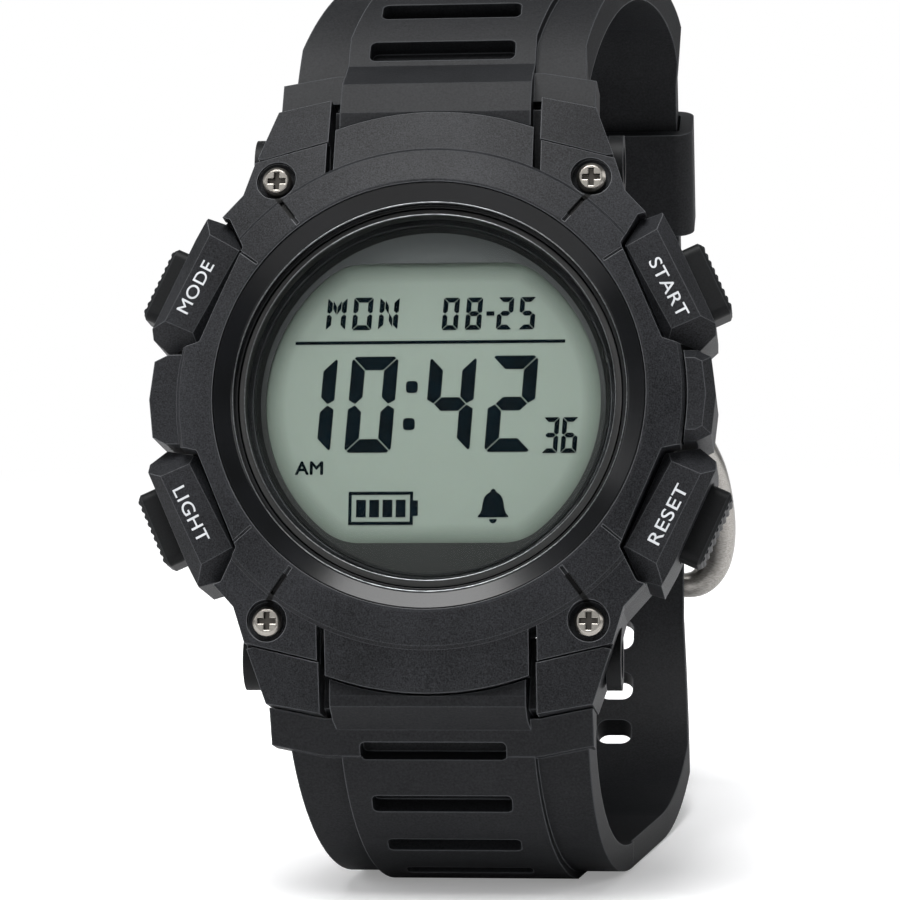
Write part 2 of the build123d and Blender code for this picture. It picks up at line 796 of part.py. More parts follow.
with BuildPart() as case_back_screws:
    with BuildSketch(level(layer_gap)):
        with PolarLocations(back_screw_radius, 4, start_angle=45):
            Circle(back_head_radius)
    extrude(amount=back_head_sink - layer_gap)
    with BuildSketch(level(back_head_sink)):
        with PolarLocations(back_screw_radius, 4, start_angle=45):
            Circle(back_screw_bore - layer_gap)
    extrude(amount=back_screw_length)
    with BuildSketch(level(layer_gap)):
        with PolarLocations(back_screw_radius, 4, start_angle=45):
            Rectangle(2 * back_head_radius, back_slot_width)
    extrude(amount=back_head_sink / 2, mode=Mode.SUBTRACT)
save(case_back_screws, "case_back_screws")


# Buttons, each with its clip, its seal and its spring
button_back = 23.1
rib_radius = 0.3
rib_pitch = 0.7
rib_count = 9
rib_height = 3.4
stem_end = 16.05
neck_radius = 0.7
clip_disc_thickness = 0.4
clip_disc_radius = 1.7
seal_thickness = 0.6
spring_wire_radius = 0.18
spring_turns = 2.75
spring_recess_top = 23.9
clip_mouth = 1.1

for name, angle in button_sides.items():
    with BuildPart() as button:
        with BuildSketch(button_plane(angle, button_back)):
            RectangleRounded(button_height, button_length, corner)
        extrude(amount=button_face - button_back)
        chamfer(button.faces().sort_by(Axis((0, 0, 0), button_plane(angle, button_face).z_dir))[-1].edges(),
                corner / 3)
        with BuildSketch(button_plane(angle, button_back)):
            Circle(spring_well_radius)
        extrude(amount=spring_recess_top - button_back, mode=Mode.SUBTRACT)
        with BuildSketch(button_plane(angle, clip_face)):
            Circle(stem_radius)
        extrude(amount=spring_recess_top + layer_gap - clip_face)
        with BuildSketch(button_plane(angle, stem_end)):
            Circle(neck_radius)
        extrude(amount=clip_face - stem_end)
        with BuildSketch(button_plane(angle, stem_end)):
            Circle(stem_radius)
        extrude(amount=clip_face - clip_disc_thickness - layer_gap - stem_end)
        face = button_plane(angle, button_face - rib_radius / 2)
        grip = Plane(origin=face.origin - face.x_dir * rib_height / 2, x_dir=face.y_dir, z_dir=face.x_dir)
        with BuildSketch(grip):
            with GridLocations(rib_pitch, 0, rib_count, 1):
                Circle(rib_radius)
        extrude(amount=rib_height)
    save(button, f"{name}_button")

    with BuildPart() as button_clip:
        with BuildSketch(button_plane(angle, clip_face - clip_disc_thickness)):
            Circle(clip_disc_radius)
            Circle(neck_radius, mode=Mode.SUBTRACT)
            with Locations((clip_disc_radius, 0)):
                Rectangle(2 * clip_disc_radius, clip_mouth, mode=Mode.SUBTRACT)
        extrude(amount=clip_disc_thickness - layer_gap)
    save(button_clip, f"{name}_button_clip")

    with BuildPart() as button_seal:
        with BuildSketch(button_plane(angle, spring_well_floor)):
            Circle(spring_well_radius - layer_gap)
            Circle(stem_radius + layer_gap, mode=Mode.SUBTRACT)
        extrude(amount=seal_thickness)
    save(button_seal, f"{name}_button_seal")

    spring_foot = spring_well_floor + seal_thickness + spring_wire_radius + layer_gap
    spring_height = spring_recess_top - spring_foot - spring_wire_radius - layer_gap
    coil_radius = (stem_radius + spring_well_radius) / 2
    seat = button_plane(angle, spring_foot)
    with BuildPart() as button_spring:
        with BuildLine() as coil:
            Helix(spring_height / spring_turns, spring_height, coil_radius,
                  center=tuple(seat.origin), direction=tuple(seat.z_dir))
        with BuildSketch(Plane(origin=coil.line @ 0, z_dir=coil.line % 0)):
            Circle(spring_wire_radius)
        sweep(path=coil.line)
    save(button_spring, f"{name}_button_spring")


# Strap pins and the screws whose round heads close them
pin_half = 14.9
pin_bore_radius = 0.6
pin_shank = 4.0
pin_head_face = 16.5
pin_head_dish = 1.7

for name, up in (("upper", 1), ("lower", -1)):
    with BuildPart() as strap_pin:
        with BuildSketch(side.offset(-pin_half)):
            with Locations((up * pin_reach, pin_level)):
                Circle(pin_radius)
                Circle(pin_bore_radius, mode=Mode.SUBTRACT)
        extrude(amount=2 * pin_half)
    save(strap_pin, f"{name}_strap_pin")

    with BuildPart() as pin_screws:
        for across in (1, -1):
            with BuildSketch(side.offset(across * pin_head_seat)):
                with Locations((up * pin_reach, pin_level)):
                    Circle(pin_head_radius)
            extrude(amount=across * (pin_head_face - pin_head_seat))
            with BuildSketch(side.offset(across * pin_head_seat)):
                with Locations((up * pin_reach, pin_level)):
                    Circle(pin_bore_radius - layer_gap)
            extrude(amount=-across * pin_shank)
            with BuildSketch(side.offset(across * pin_head_face)):
                with Locations((up * pin_reach, pin_level)):
                    Circle(pin_head_dish)
            extrude(amount=-across * recess_depth, mode=Mode.SUBTRACT)
            with BuildSketch(side.offset(across * (pin_head_face - recess_depth))):
                with Locations((up * pin_reach, pin_level)):
                    Rectangle(pin_head_radius, recess_width)
            extrude(amount=-across * recess_depth / 2, mode=Mode.SUBTRACT)
    save(pin_screws, f"{name}_pin_screws")


# Straps: a neck between the lugs, a raised middle band with slots, and a plain back run
neck_width = lug_gap - 2 * seam
neck_floor = 2.6
neck_top = neck_ceiling - 2 * strap_gap
neck_tail = neck_pocket + 2 * strap_gap
blank_width = strap_shoulder_width + 4 * loop_sway
shoulder_floor = 2.0
shoulder_run = {"upper": 2.9, "lower": 3.1}
shoulder_top = {"upper": 7.6, "lower": 7.2}
shoulder_end_top = {"upper": 6.3, "lower": 4.6}
centre_start = case_radius + 2 * strap_gap
centre_floor = 6.0
lip_top = {"upper": 10.2, "lower": 9.9}
crest_run = {"upper": 3.0, "lower": 0.9}
crest_top = {"upper": 8.9, "lower": 9.5}
centre_end = {"upper": 5.6, "lower": 2.7}
slot_width = {"upper": 13.2, "lower": 12.8}
slot_height = {"upper": 2.3, "lower": 1.9}
slot_first = {"upper": 7.2, "lower": 4.0}
slot_pitch = {"upper": 5.1, "lower": 5.2}
slot_narrowing = 0.45
slot_depth = 1.7
slot_count = 4
raised_end = 12.0
crown_height = crown_line + strap_thickness
hole_width = 3.4
hole_height = 3.2
hole_column = 4.6
hole_pitch = 6.0
hole_count = 9
filled_hole = 3
bar_radius = 0.75
eye_radius = 1.9


def strap_outline(points):
    """Front view of half a strap as half width and height, mirrored to the other side."""
    right = [(width, height) for width, height in points]
    left = [(-width, height) for width, height in reversed(points)]
    Polygon(*(right + left), align=None)


def swayed(blank, up, points):
    """The part of a blank inside a front view outline that drifts to one side with the loop."""
    drift_run = sway_y - drift_start[up]
    with BuildPart() as strip:
        with BuildSketch(Plane.XZ.offset(-sway_y)) as rear:
            with Locations((loop_sway, 0)):
                strap_outline(points)
        extrude(rear.sketch, amount=2 * back_reach, dir=(0, 1, 0))
        extrude(rear.sketch, amount=hypot(drift_run, loop_sway), dir=(-loop_sway, -drift_run, 0))
        with BuildSketch(Plane.XZ.offset(-drift_start[up])) as front:
            strap_outline(points)
        extrude(front.sketch, amount=2 * back_reach)
        add(blank, mode=Mode.INTERSECT)
    return strip.part


def shoulder_block(up, run, lug_end_top, strap_end_top):
    """Swelling across the strap that follows the slanting ends of the lugs."""
    corner_reach = lug_side[0][1] + seam
    with BuildPart() as shoulders:
        for across in (1, -1):
            with BuildSketch(level(shoulder_floor)) as plan:
                plan_outline([(0, lug_reach + seam), (lug_gap / 2, lug_reach + seam),
                              (strap_shoulder_width / 2, corner_reach), (strap_shoulder_width / 2, corner_reach + run),
                              (lug_gap / 2, lug_reach + seam + run), (0, lug_reach + seam + run)], across, up)
            extrude(plan.sketch, amount=lug_top)
        with BuildSketch(side) as profile:
            Polygon((0, 0), (0, lug_end_top), (up * corner_reach, lug_end_top),
                    (up * (lug_reach + seam + run), strap_end_top), (up * (lug_reach + seam + run), 0), align=None)
        extrude(profile.sketch, amount=strap_shoulder_width, both=True, mode=Mode.INTERSECT)
    return shoulders.part


def front_part(route, name, up, end, points):
    """Front stretch of a strap: the shoulders at the lugs and the band that runs on from them."""
    with BuildPart() as front:
        add(band(stretch(route, 0, end), half, -half, blank_width))
    with BuildPart() as joined:
        add(swayed(front.part, up, points))
        add(shoulder_block(up, shoulder_run[name], shoulder_top[name], shoulder_end_top[name]))
    return joined.part


def raised_part(route, name, up, end):
    """Raised middle band, with the crest that meets the plate of the bezel."""
    sides = (half + raised_band_height, 0) if up > 0 else (0, -half - raised_band_height)
    lip = plate_reach + seam
    with BuildPart() as raised:
        add(band(stretch(route, 0, end), sides[0], sides[1], blank_width))
        with BuildSketch(Plane.YZ):
            Polygon(head_point(up * centre_start, centre_floor), head_point(up * centre_start, lip_top[name]),
                    head_point(up * lip, lip_top[name]), head_point(up * (lip + crest_run[name]), crest_top[name]),
                    route_point(route, up, centre_end[name], half + raised_band_height),
                    route_point(route, up, centre_end[name], 0), align=None)
        extrude(amount=blank_width / 2, both=True)
    return swayed(raised.part, up, [(raised_band_width / 2, -overrun), (raised_band_width / 2, crown_height)])


def neck_block(up):
    """Block between the lugs that the strap pin passes through."""
    with BuildPart() as neck:
        with BuildSketch(side):
            Polygon((up * neck_tail, neck_floor), (up * neck_tail, neck_top),
                    (up * (head_pin_run + half), neck_top), (up * (head_pin_run + 2 * half), neck_floor),
                    align=None)
        extrude(amount=neck_width / 2, both=True)
    return neck.part


def clear_the_head(up):
    """Cut away what would reach into the lugs or under and into the plate of the bezel."""
    for across in (1, -1):
        with BuildSketch(level(-overrun)) as lug_room:
            plan_outline([(neck_width / 2, 0), (neck_width / 2, lug_reach + seam),
                          (lug_side[0][0], lug_side[0][1] + seam), (strap_shoulder_width, lug_side[0][1] + seam),
                          (strap_shoulder_width, 0)], across, up)
        extrude(lug_room.sketch, amount=bezel_top, mode=Mode.SUBTRACT)
    with BuildSketch(level(drum_top - seam)) as plate_room:
        Circle(plate_reach + seam)
    extrude(plate_room.sketch, amount=bezel_top, mode=Mode.SUBTRACT)


def cut_slots(route, name, up):
    """Cut the row of slots in the raised band, each a little narrower than the one before."""
    for index in range(slot_count):
        distance = slot_first[name] + index * slot_pitch[name]
        with BuildSketch(outward_plane(route, up, distance, half + raised_band_height + overrun)) as slot:
            RectangleRounded(slot_width[name] - index * slot_narrowing, slot_height[name], slot_height[name] / 4)
        extrude(slot.sketch, amount=-slot_depth - overrun, mode=Mode.SUBTRACT)


def cut_pin_bore(up):
    """Bore for the strap pin through the neck."""
    with BuildSketch(side) as bore:
        with Locations((up * pin_reach, pin_level)):
            Circle(pin_radius + layer_gap)
    extrude(bore.sketch, amount=neck_width, both=True, mode=Mode.SUBTRACT)


bar_y = head_y + upper_back - bar_inset
upper_rear = band(stretch(upper_route, crown_distance, upper_length), half, -half, blank_width)

with BuildPart() as upper_strap:
    add(swayed(upper_rear, 1,
               [(strap_back_width / 2, 0), (strap_back_width / 2, keeper_top), (strap_crown_width / 2, crown_height)]))
    with BuildSketch(Plane.YZ.offset(loop_sway)):
        with Locations((bar_y, bar_height)):
            Circle(eye_radius)
    extrude(amount=strap_back_width / 2, both=True)
    add(front_part(upper_route, "upper", 1, crown_distance + layer_gap,
                   [(strap_lug_width / 2, 0), (strap_lug_width / 2, head_z + upper_start[1]),
                    (strap_crown_width / 2, crown_height)]))
    add(raised_part(upper_route, "upper", 1, crown_distance + raised_end))
    add(neck_block(1))
    clear_the_head(1)
    cut_slots(upper_route, "upper", 1)
    cut_pin_bore(1)
    # Bore for the buckle bar and the gaps for the two prongs
    with BuildSketch(Plane.YZ.offset(loop_sway)):
        with Locations((bar_y, bar_height)):
            Circle(bar_radius + layer_gap)
    extrude(amount=strap_crown_width, both=True, mode=Mode.SUBTRACT)
    with BuildSketch(Plane.XZ.offset(-bar_y)):
        with Locations((loop_sway + hole_column, bar_height), (loop_sway - hole_column, bar_height)):
            Rectangle(hole_width, 3 * eye_radius)
    extrude(amount=2 * eye_radius, both=True, mode=Mode.SUBTRACT)
save(upper_strap, "upper_strap")


tail_tip_run = 5.0
prong_drop = 2.6
tail_height = walk(lower_route, lower_length)[1]
lower_rear = band(stretch(lower_route, foot_distance, lower_length), half, -half, blank_width)
back_run_start = foot_distance + foot_length + move_length(back_bend_radius, 90)
prong_height = bar_height - prong_drop
first_hole = back_run_start + prong_height - foot_line - back_bend_radius

with BuildPart() as lower_strap:
    add(swayed(lower_rear, -1,
               [(strap_foot_width / 2, -overrun), (strap_foot_width / 2, 0), (strap_back_width / 2, bar_height / 2),
                (strap_back_width / 2, tail_height - tail_tip_run),
                (strap_back_width / 3, tail_height - tail_tip_run / 5),
                (strap_back_width / 6, tail_height + overrun)]))
    add(front_part(lower_route, "lower", -1, foot_distance + layer_gap,
                   [(strap_foot_width / 2, -overrun), (strap_foot_width / 2, 0),
                    (strap_lug_width / 2, head_z + lower_start[1]), (strap_lug_width / 2, head_z)]))
    add(raised_part(lower_route, "lower", -1, foot_distance + foot_length + raised_end))
    add(neck_block(-1))
    clear_the_head(-1)
    cut_slots(lower_route, "lower", -1)
    cut_pin_bore(-1)
    # Two columns of holes up the back run, in step with the hole that the prongs fill
    for index in range(hole_count):
        distance = first_hole + (filled_hole - index) * hole_pitch
        with BuildSketch(outward_plane(lower_route, -1, distance, strap_thickness)):
            with Locations((hole_column, 0), (-hole_column, 0)):
                RectangleRounded(hole_width, hole_height, hole_height / 3)
        extrude(amount=-2 * strap_thickness, mode=Mode.SUBTRACT)
    # Flat underside that the watch stands on
    with BuildSketch(Plane.XY):
        Rectangle(2 * strap_shoulder_width, 4 * back_reach)
    extrude(amount=-overrun, mode=Mode.SUBTRACT)
save(lower_strap, "lower_strap")


# Buckle: frame with a crossbar, the bar in the strap's end and a tongue with two prongs
arm_gap = 0.9
arm_inner = strap_back_width / 2 + arm_gap
arm_width = 2.1
arm_thickness = 2.2
arm_outer = arm_inner + arm_width
arm_bend_share = 0.35
arm_hole_radius = bar_radius + layer_gap
crossbar_y = bar_y + crossbar_out
crossbar_z = bar_height - buckle_length
prong_width = 2.0
prong_eye_radius = 1.55
prong_bend_radius = 0.8
tongue_bridge = 1.2
bridge_reach = eye_radius + seam + tongue_bridge
prong_out = crossbar_y + crossbar_radius + layer_gap

with BuildPart() as buckle_frame:
    for across in (1, -1):
        with BuildSketch(Plane.YZ.offset(loop_sway + across * arm_inner)):
            with BuildLine():
                FilletPolyline((bar_y, bar_height), (crossbar_y, crossbar_z + buckle_length * arm_bend_share),
                               (crossbar_y, crossbar_z), radius=buckle_length / 4)
                offset(amount=arm_thickness / 2, side=Side.BOTH)
            make_face()
        extrude(amount=across * arm_width)
    with BuildSketch(Plane.YZ.offset(loop_sway - arm_inner)):
        with Locations((crossbar_y, crossbar_z)):
            Circle(crossbar_radius)
    extrude(amount=2 * arm_inner)
    with BuildSketch(Plane.YZ.offset(loop_sway)):
        with Locations((bar_y, bar_height)):
            Circle(arm_hole_radius)
    extrude(amount=2 * arm_outer, both=True, mode=Mode.SUBTRACT)
save(buckle_frame, "buckle_frame")

with BuildPart() as buckle_bar:
    with BuildSketch(Plane.YZ.offset(loop_sway - arm_outer)):
        with Locations((bar_y, bar_height)):
            Circle(bar_radius)
    extrude(amount=2 * arm_outer)
save(buckle_bar, "buckle_bar")

with BuildPart() as buckle_tongue:
    for across in (1, -1):
        with BuildSketch(Plane.YZ.offset(loop_sway + across * hole_column - prong_width / 2)):
            with BuildLine():
                FilletPolyline((bar_y, bar_height), (bar_y + prong_thickness, prong_height + prong_thickness / 2),
                               (prong_out + prong_thickness, prong_height - prong_thickness / 2),
                               (prong_out + prong_thickness / 2, crossbar_z - crossbar_radius / 2),
                               radius=prong_bend_radius)
                offset(amount=prong_thickness / 2, side=Side.BOTH)
            make_face()
            with Locations((bar_y - bridge_reach / 2, bar_height)):
                Rectangle(bridge_reach, tongue_bridge)
            with Locations((bar_y, bar_height)):
                Circle(prong_eye_radius)
                Circle(bar_radius + layer_gap, mode=Mode.SUBTRACT)
        extrude(amount=prong_width)
    with BuildSketch(Plane.YZ.offset(loop_sway - hole_column)):
        with Locations((bar_y - bridge_reach + tongue_bridge / 2, bar_height)):
            Rectangle(tongue_bridge, tongue_bridge)
    extrude(amount=2 * hole_column)
save(buckle_tongue, "buckle_tongue")


# Keeper: a band round both straps on the slanting run above the buckle
keeper_length = 10.6
keeper_seat = 9.5
keeper_wall = 1.3
keeper_gap = 0.25
keeper_corner = 1.8
keeper_inner_width = strap_back_width + 2 * keeper_gap
keeper_depth = 2 * strap_thickness + strap_gap + 2 * keeper_gap
keeper_start = lower_length - move_length(closing_radius + strap_pitch, tail_turn) - keeper_seat
keeper_middle = route_point(lower_route, -1, keeper_start, -strap_pitch / 2)
keeper_heading = radians(walk(lower_route, keeper_start)[2])
keeper_plane = Plane(origin=(loop_sway, keeper_middle[0], keeper_middle[1]), x_dir=(1, 0, 0),
                     z_dir=(0, cos(keeper_heading), sin(keeper_heading)))

with BuildPart() as strap_keeper:
    with BuildSketch(keeper_plane.offset(-keeper_length / 2)):
        RectangleRounded(keeper_inner_width + 2 * keeper_wall, keeper_depth + 2 * keeper_wall, keeper_corner)
        RectangleRounded(keeper_inner_width, keeper_depth, keeper_wall / 4, mode=Mode.SUBTRACT)
    extrude(amount=keeper_length)
save(strap_keeper, "strap_keeper")
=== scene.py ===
import bmesh
import bpy
import json
from math import atan2, copysign, cos, pi, radians, sin
from mathutils import Matrix, Vector


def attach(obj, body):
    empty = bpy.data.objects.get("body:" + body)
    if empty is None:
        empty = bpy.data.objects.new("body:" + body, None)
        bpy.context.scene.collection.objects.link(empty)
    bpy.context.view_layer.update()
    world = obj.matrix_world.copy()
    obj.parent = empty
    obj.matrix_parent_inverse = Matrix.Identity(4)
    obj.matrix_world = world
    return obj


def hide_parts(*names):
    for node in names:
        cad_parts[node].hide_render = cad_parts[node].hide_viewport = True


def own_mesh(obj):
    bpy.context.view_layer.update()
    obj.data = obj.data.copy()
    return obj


MM = 0.001
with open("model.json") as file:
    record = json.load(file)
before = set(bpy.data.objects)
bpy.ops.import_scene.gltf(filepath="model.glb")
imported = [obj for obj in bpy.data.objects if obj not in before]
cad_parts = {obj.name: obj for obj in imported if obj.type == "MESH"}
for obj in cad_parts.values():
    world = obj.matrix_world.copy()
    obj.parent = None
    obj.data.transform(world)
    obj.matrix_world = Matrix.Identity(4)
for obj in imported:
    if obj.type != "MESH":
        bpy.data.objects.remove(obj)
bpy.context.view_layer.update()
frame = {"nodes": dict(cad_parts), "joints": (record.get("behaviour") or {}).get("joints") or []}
nodes = frame["nodes"]

# The face leans back on the table; these point out of the face and up along it
LEAN = radians(15.0)
FACE_OUT = Vector((0, -cos(LEAN), sin(LEAN)))
FACE_UP = Vector((0, sin(LEAN), cos(LEAN)))

# Middle of the outer face of the case back, and heights over it in mm
FACE_MIDDLE = Vector((0, -17.4985, 42.3938)) * MM
DISPLAY_HEIGHT = 8.5
SCREW_HEIGHT = 11.0
GUARD_HEIGHT = 11.3
GLASS_RIM_HEIGHT = 11.62
GLASS_HEIGHT = 11.7
RING_LIP_HEIGHT = 12.02

# Window of the dial mask: a circle cut straight above and below, in mm
WINDOW_RADIUS = 14.75
WINDOW_HALF_HEIGHT = 12.5

# How far the free layer of the strap sways to the right of the head, in mm
LOOP_SWAY = 8.5


def face_matrix(height):
    """Matrix from millimetres right, up and out on the face to the frame, at a height."""
    matrix = Matrix.Identity(4)
    for row in range(3):
        matrix[row][0] = (MM, 0, 0)[row]
        matrix[row][1] = FACE_UP[row] * MM
        matrix[row][2] = FACE_OUT[row] * MM
        matrix[row][3] = (FACE_MIDDLE + FACE_OUT * height * MM)[row]
    return matrix


# Camera at the photograph's angle, with the photograph's width and focal length in pixels
PHOTO_SIZE = 900
PHOTO_FOCUS = 3436
CAMERA_AZIMUTH = radians(5.9)
CAMERA_ELEVATION = radians(4.5)
CAMERA_ROLL = radians(-0.8)
CAMERA_DISTANCE = 298 * MM
AIM_RIGHT = 1.82 * MM
AIM_DOWN = 4.73 * MM
SENSOR_WIDTH = 36.0
NEAR_CLIP = 10 * MM


def place_camera():
    """Camera whose middle looks a little right of and below the middle of the glass."""
    right = Vector((cos(CAMERA_AZIMUTH), sin(CAMERA_AZIMUTH), 0))
    back = Vector((sin(CAMERA_AZIMUTH) * cos(CAMERA_ELEVATION),
                   -cos(CAMERA_AZIMUTH) * cos(CAMERA_ELEVATION), sin(CAMERA_ELEVATION)))
    up = back.cross(right)
    turn = Matrix.Rotation(CAMERA_ROLL, 3, back)
    right, up = turn @ right, turn @ up
    glass_top = FACE_MIDDLE + FACE_OUT * GLASS_HEIGHT * MM
    place = glass_top + right * AIM_RIGHT - up * AIM_DOWN + back * CAMERA_DISTANCE
    lens = bpy.data.cameras.new("camera")
    lens.sensor_width = SENSOR_WIDTH
    lens.lens = lens.sensor_width * PHOTO_FOCUS / PHOTO_SIZE
    lens.clip_start = NEAR_CLIP
    camera = bpy.data.objects.new("camera", lens)
    bpy.context.scene.collection.objects.link(camera)
    camera.matrix_world = Matrix((
        (right.x, up.x, back.x, place.x), (right.y, up.y, back.y, place.y),
        (right.z, up.z, back.z, place.z), (0, 0, 0, 1)))
    bpy.context.scene.camera = camera


place_camera()


def linear(colour):
    """Linear colour from an sRGB hex value."""
    channels = [int(colour[i:i + 2], 16) / 255 for i in (0, 2, 4)]
    return [c / 12.92 if c <= 0.04045 else ((c + 0.055) / 1.055) ** 2.4 for c in channels] + [1.0]


def add_node(tree, kind, settings=None):
    """Add a shader node. A setting is a property, an input's value, a socket to link to that input, or
    the hex colours of a ramp with their positions."""
    made = tree.nodes.new(kind)
    for name, value in (settings or {}).items():
        if isinstance(value, bpy.types.NodeSocket):
            tree.links.new(value, made.inputs[name])
        elif name == "color_ramp":
            for index, (colour, position) in enumerate(value):
                made.color_ramp.elements[index].position = position
                made.color_ramp.elements[index].color = linear(colour)
        elif isinstance(name, int) or name in made.inputs:
            made.inputs[name].default_value = value
        else:
            setattr(made, name, value)
    return made


def new_material(name):
    """Material with an empty node tree."""
    material = bpy.data.materials.new(name)
    material.use_nodes = True
    material.node_tree.nodes.clear()
    return material, material.node_tree


BEVEL_SAMPLES = 8
SOFT_DETAIL = 2.0

# Resin: size of the clouds in mm, what the grain adds to tone and bump, and the sheen. The real grain
# is finer, and it is drawn as coarse as it needs to show
CLOUD_SIZE = 9.0
GRAIN_SHARE = 0.75
GRAIN_DETAIL = 3.0
GRAIN_ROUGHNESS = 0.6
GRAIN_TONES = (0.36, 0.64)
GRAIN_STRENGTH = 0.7
RESIN_SHEEN = 0.12
# Painted highlight on the edges: cosine of the turn at an edge where it begins and where it is complete, and
# its most
HIGHLIGHT_BEGIN = 0.998
HIGHLIGHT_COMPLETE = 0.86
HIGHLIGHT_MOST = 0.7


def moulded(name, dark, light, highlight_tone, grain_size, grain_height, rough, edge, grooved=False):
    """Moulded resin. Spark erosion of the mould leaves a fine grain that dims the sheen, the tone
    drifts a little over the piece, the rounded edges get a painted highlight, and grooves get painted shade."""
    material, tree = new_material(name)
    place = add_node(tree, "ShaderNodeTexCoord").outputs["Object"]
    grain = add_node(tree, "ShaderNodeTexNoise", {
        "Scale": 1 / (grain_size * MM), "Detail": GRAIN_DETAIL, "Roughness": GRAIN_ROUGHNESS, "Vector": place})
    cloud = add_node(tree, "ShaderNodeTexNoise", {
        "Scale": 1 / (CLOUD_SIZE * MM), "Detail": SOFT_DETAIL, "Vector": place})
    tone = add_node(tree, "ShaderNodeMix", {
        "data_type": "FLOAT", 0: GRAIN_SHARE, 2: cloud.outputs["Fac"], 3: grain.outputs["Fac"]})
    body = add_node(tree, "ShaderNodeValToRGB", {
        "color_ramp": zip((dark, light), GRAIN_TONES), "Fac": tone.outputs[0]})
    rounding = add_node(tree, "ShaderNodeBevel", {"samples": BEVEL_SAMPLES, "Radius": edge * MM})
    facing = add_node(tree, "ShaderNodeVectorMath", {
        "operation": "DOT_PRODUCT", 0: rounding.outputs["Normal"],
        1: add_node(tree, "ShaderNodeNewGeometry").outputs["Normal"]})
    # Painted highlight: edges are mixed towards a lighter tone where the rounded normal turns from the flat
    # one
    edge_highlight = add_node(tree, "ShaderNodeMapRange", {
        "From Min": HIGHLIGHT_BEGIN, "From Max": HIGHLIGHT_COMPLETE, "To Max": HIGHLIGHT_MOST,
        "Value": facing.outputs["Value"]})
    colour = add_node(tree, "ShaderNodeMix", {
        "data_type": "RGBA", 0: edge_highlight.outputs[0], 6: body.outputs["Color"], 7: linear(highlight_tone)})
    if grooved:
        # Painted shade: a dark stripe along the bezel's wide grooves
        colour = add_node(tree, "ShaderNodeMix", {
            "data_type": "RGBA", 0: groove_shade_share(tree), 6: colour.outputs[2], 7: linear(GROOVE_SHADE)})
    bump = add_node(tree, "ShaderNodeBump", {
        "Strength": GRAIN_STRENGTH, "Distance": grain_height * MM, "Height": grain.outputs["Fac"],
        "Normal": rounding.outputs["Normal"]})
    shader = add_node(tree, "ShaderNodeBsdfPrincipled", {
        "Roughness": rough, "Specular IOR Level": RESIN_SHEEN, "Base Color": colour.outputs[2],
        "Normal": bump.outputs["Normal"]})
    add_node(tree, "ShaderNodeOutputMaterial", {"Surface": shader.outputs[0]})
    return material


# Lines of the tool on metal: how much finer they are up and back than across, tones and depth in mm.
# The real lines are finer, and they are drawn as coarse as they need to show
LINE_STRETCH = (1.0, 6.0, 6.0)
LINE_TONES = (0.3, 0.62)
LINE_STRENGTH = 0.35
LINE_DEPTH = 0.01


def turned_metal(name, colour, shade, line_size, rough, edge):
    """Machined metal: fine lines left by the tool, shown as bands of tone and a shallow bump."""
    material, tree = new_material(name)
    place = add_node(tree, "ShaderNodeTexCoord").outputs["Object"]
    stretched = add_node(tree, "ShaderNodeMapping", {"Scale": LINE_STRETCH, "Vector": place})
    lines = add_node(tree, "ShaderNodeTexNoise", {
        "Scale": 1 / (line_size * MM), "Detail": SOFT_DETAIL, "Vector": stretched.outputs["Vector"]})
    tone = add_node(tree, "ShaderNodeValToRGB", {
        "color_ramp": zip((shade, colour), LINE_TONES), "Fac": lines.outputs["Fac"]})
    rounding = add_node(tree, "ShaderNodeBevel", {"samples": BEVEL_SAMPLES, "Radius": edge * MM})
    bump = add_node(tree, "ShaderNodeBump", {
        "Strength": LINE_STRENGTH, "Distance": LINE_DEPTH * MM, "Height": lines.outputs["Fac"],
        "Normal": rounding.outputs["Normal"]})
    shader = add_node(tree, "ShaderNodeBsdfPrincipled", {
        "Roughness": rough, "Metallic": 1.0, "Base Color": tone.outputs["Color"],
        "Normal": bump.outputs["Normal"]})
    add_node(tree, "ShaderNodeOutputMaterial", {"Surface": shader.outputs[0]})
    return material


BLOTCH_TONES = (0.35, 0.65)


def smooth_finish(name, dark, light, blotch_size, rough, edge=0.0, sheen=0.5):
    """Smooth piece whose tone drifts softly over it."""
    material, tree = new_material(name)
    place = add_node(tree, "ShaderNodeTexCoord").outputs["Object"]
    blotch = add_node(tree, "ShaderNodeTexNoise", {
        "Scale": 1 / (blotch_size * MM), "Detail": SOFT_DETAIL, "Vector": place})
    tone = add_node(tree, "ShaderNodeValToRGB", {
        "color_ramp": zip((dark, light), BLOTCH_TONES), "Fac": blotch.outputs["Fac"]})
    shader = add_node(tree, "ShaderNodeBsdfPrincipled", {
        "Roughness": rough, "Specular IOR Level": sheen, "Base Color": tone.outputs["Color"]})
    if edge:
        rounding = add_node(tree, "ShaderNodeBevel", {"samples": BEVEL_SAMPLES, "Radius": edge * MM})
        tree.links.new(rounding.outputs["Normal"], shader.inputs["Normal"])
    add_node(tree, "ShaderNodeOutputMaterial", {"Surface": shader.outputs[0]})
    return material


# Glass: share of the reflection that the coating leaves, and cosine that tells its faces from its edge
GLASS_TINT = "F6F8F7"
GLASS_ROUGHNESS = 0.03
GLASS_INDEX = 1.4
COATED_SHARE = 0.1
FACE_COSINE = 0.9


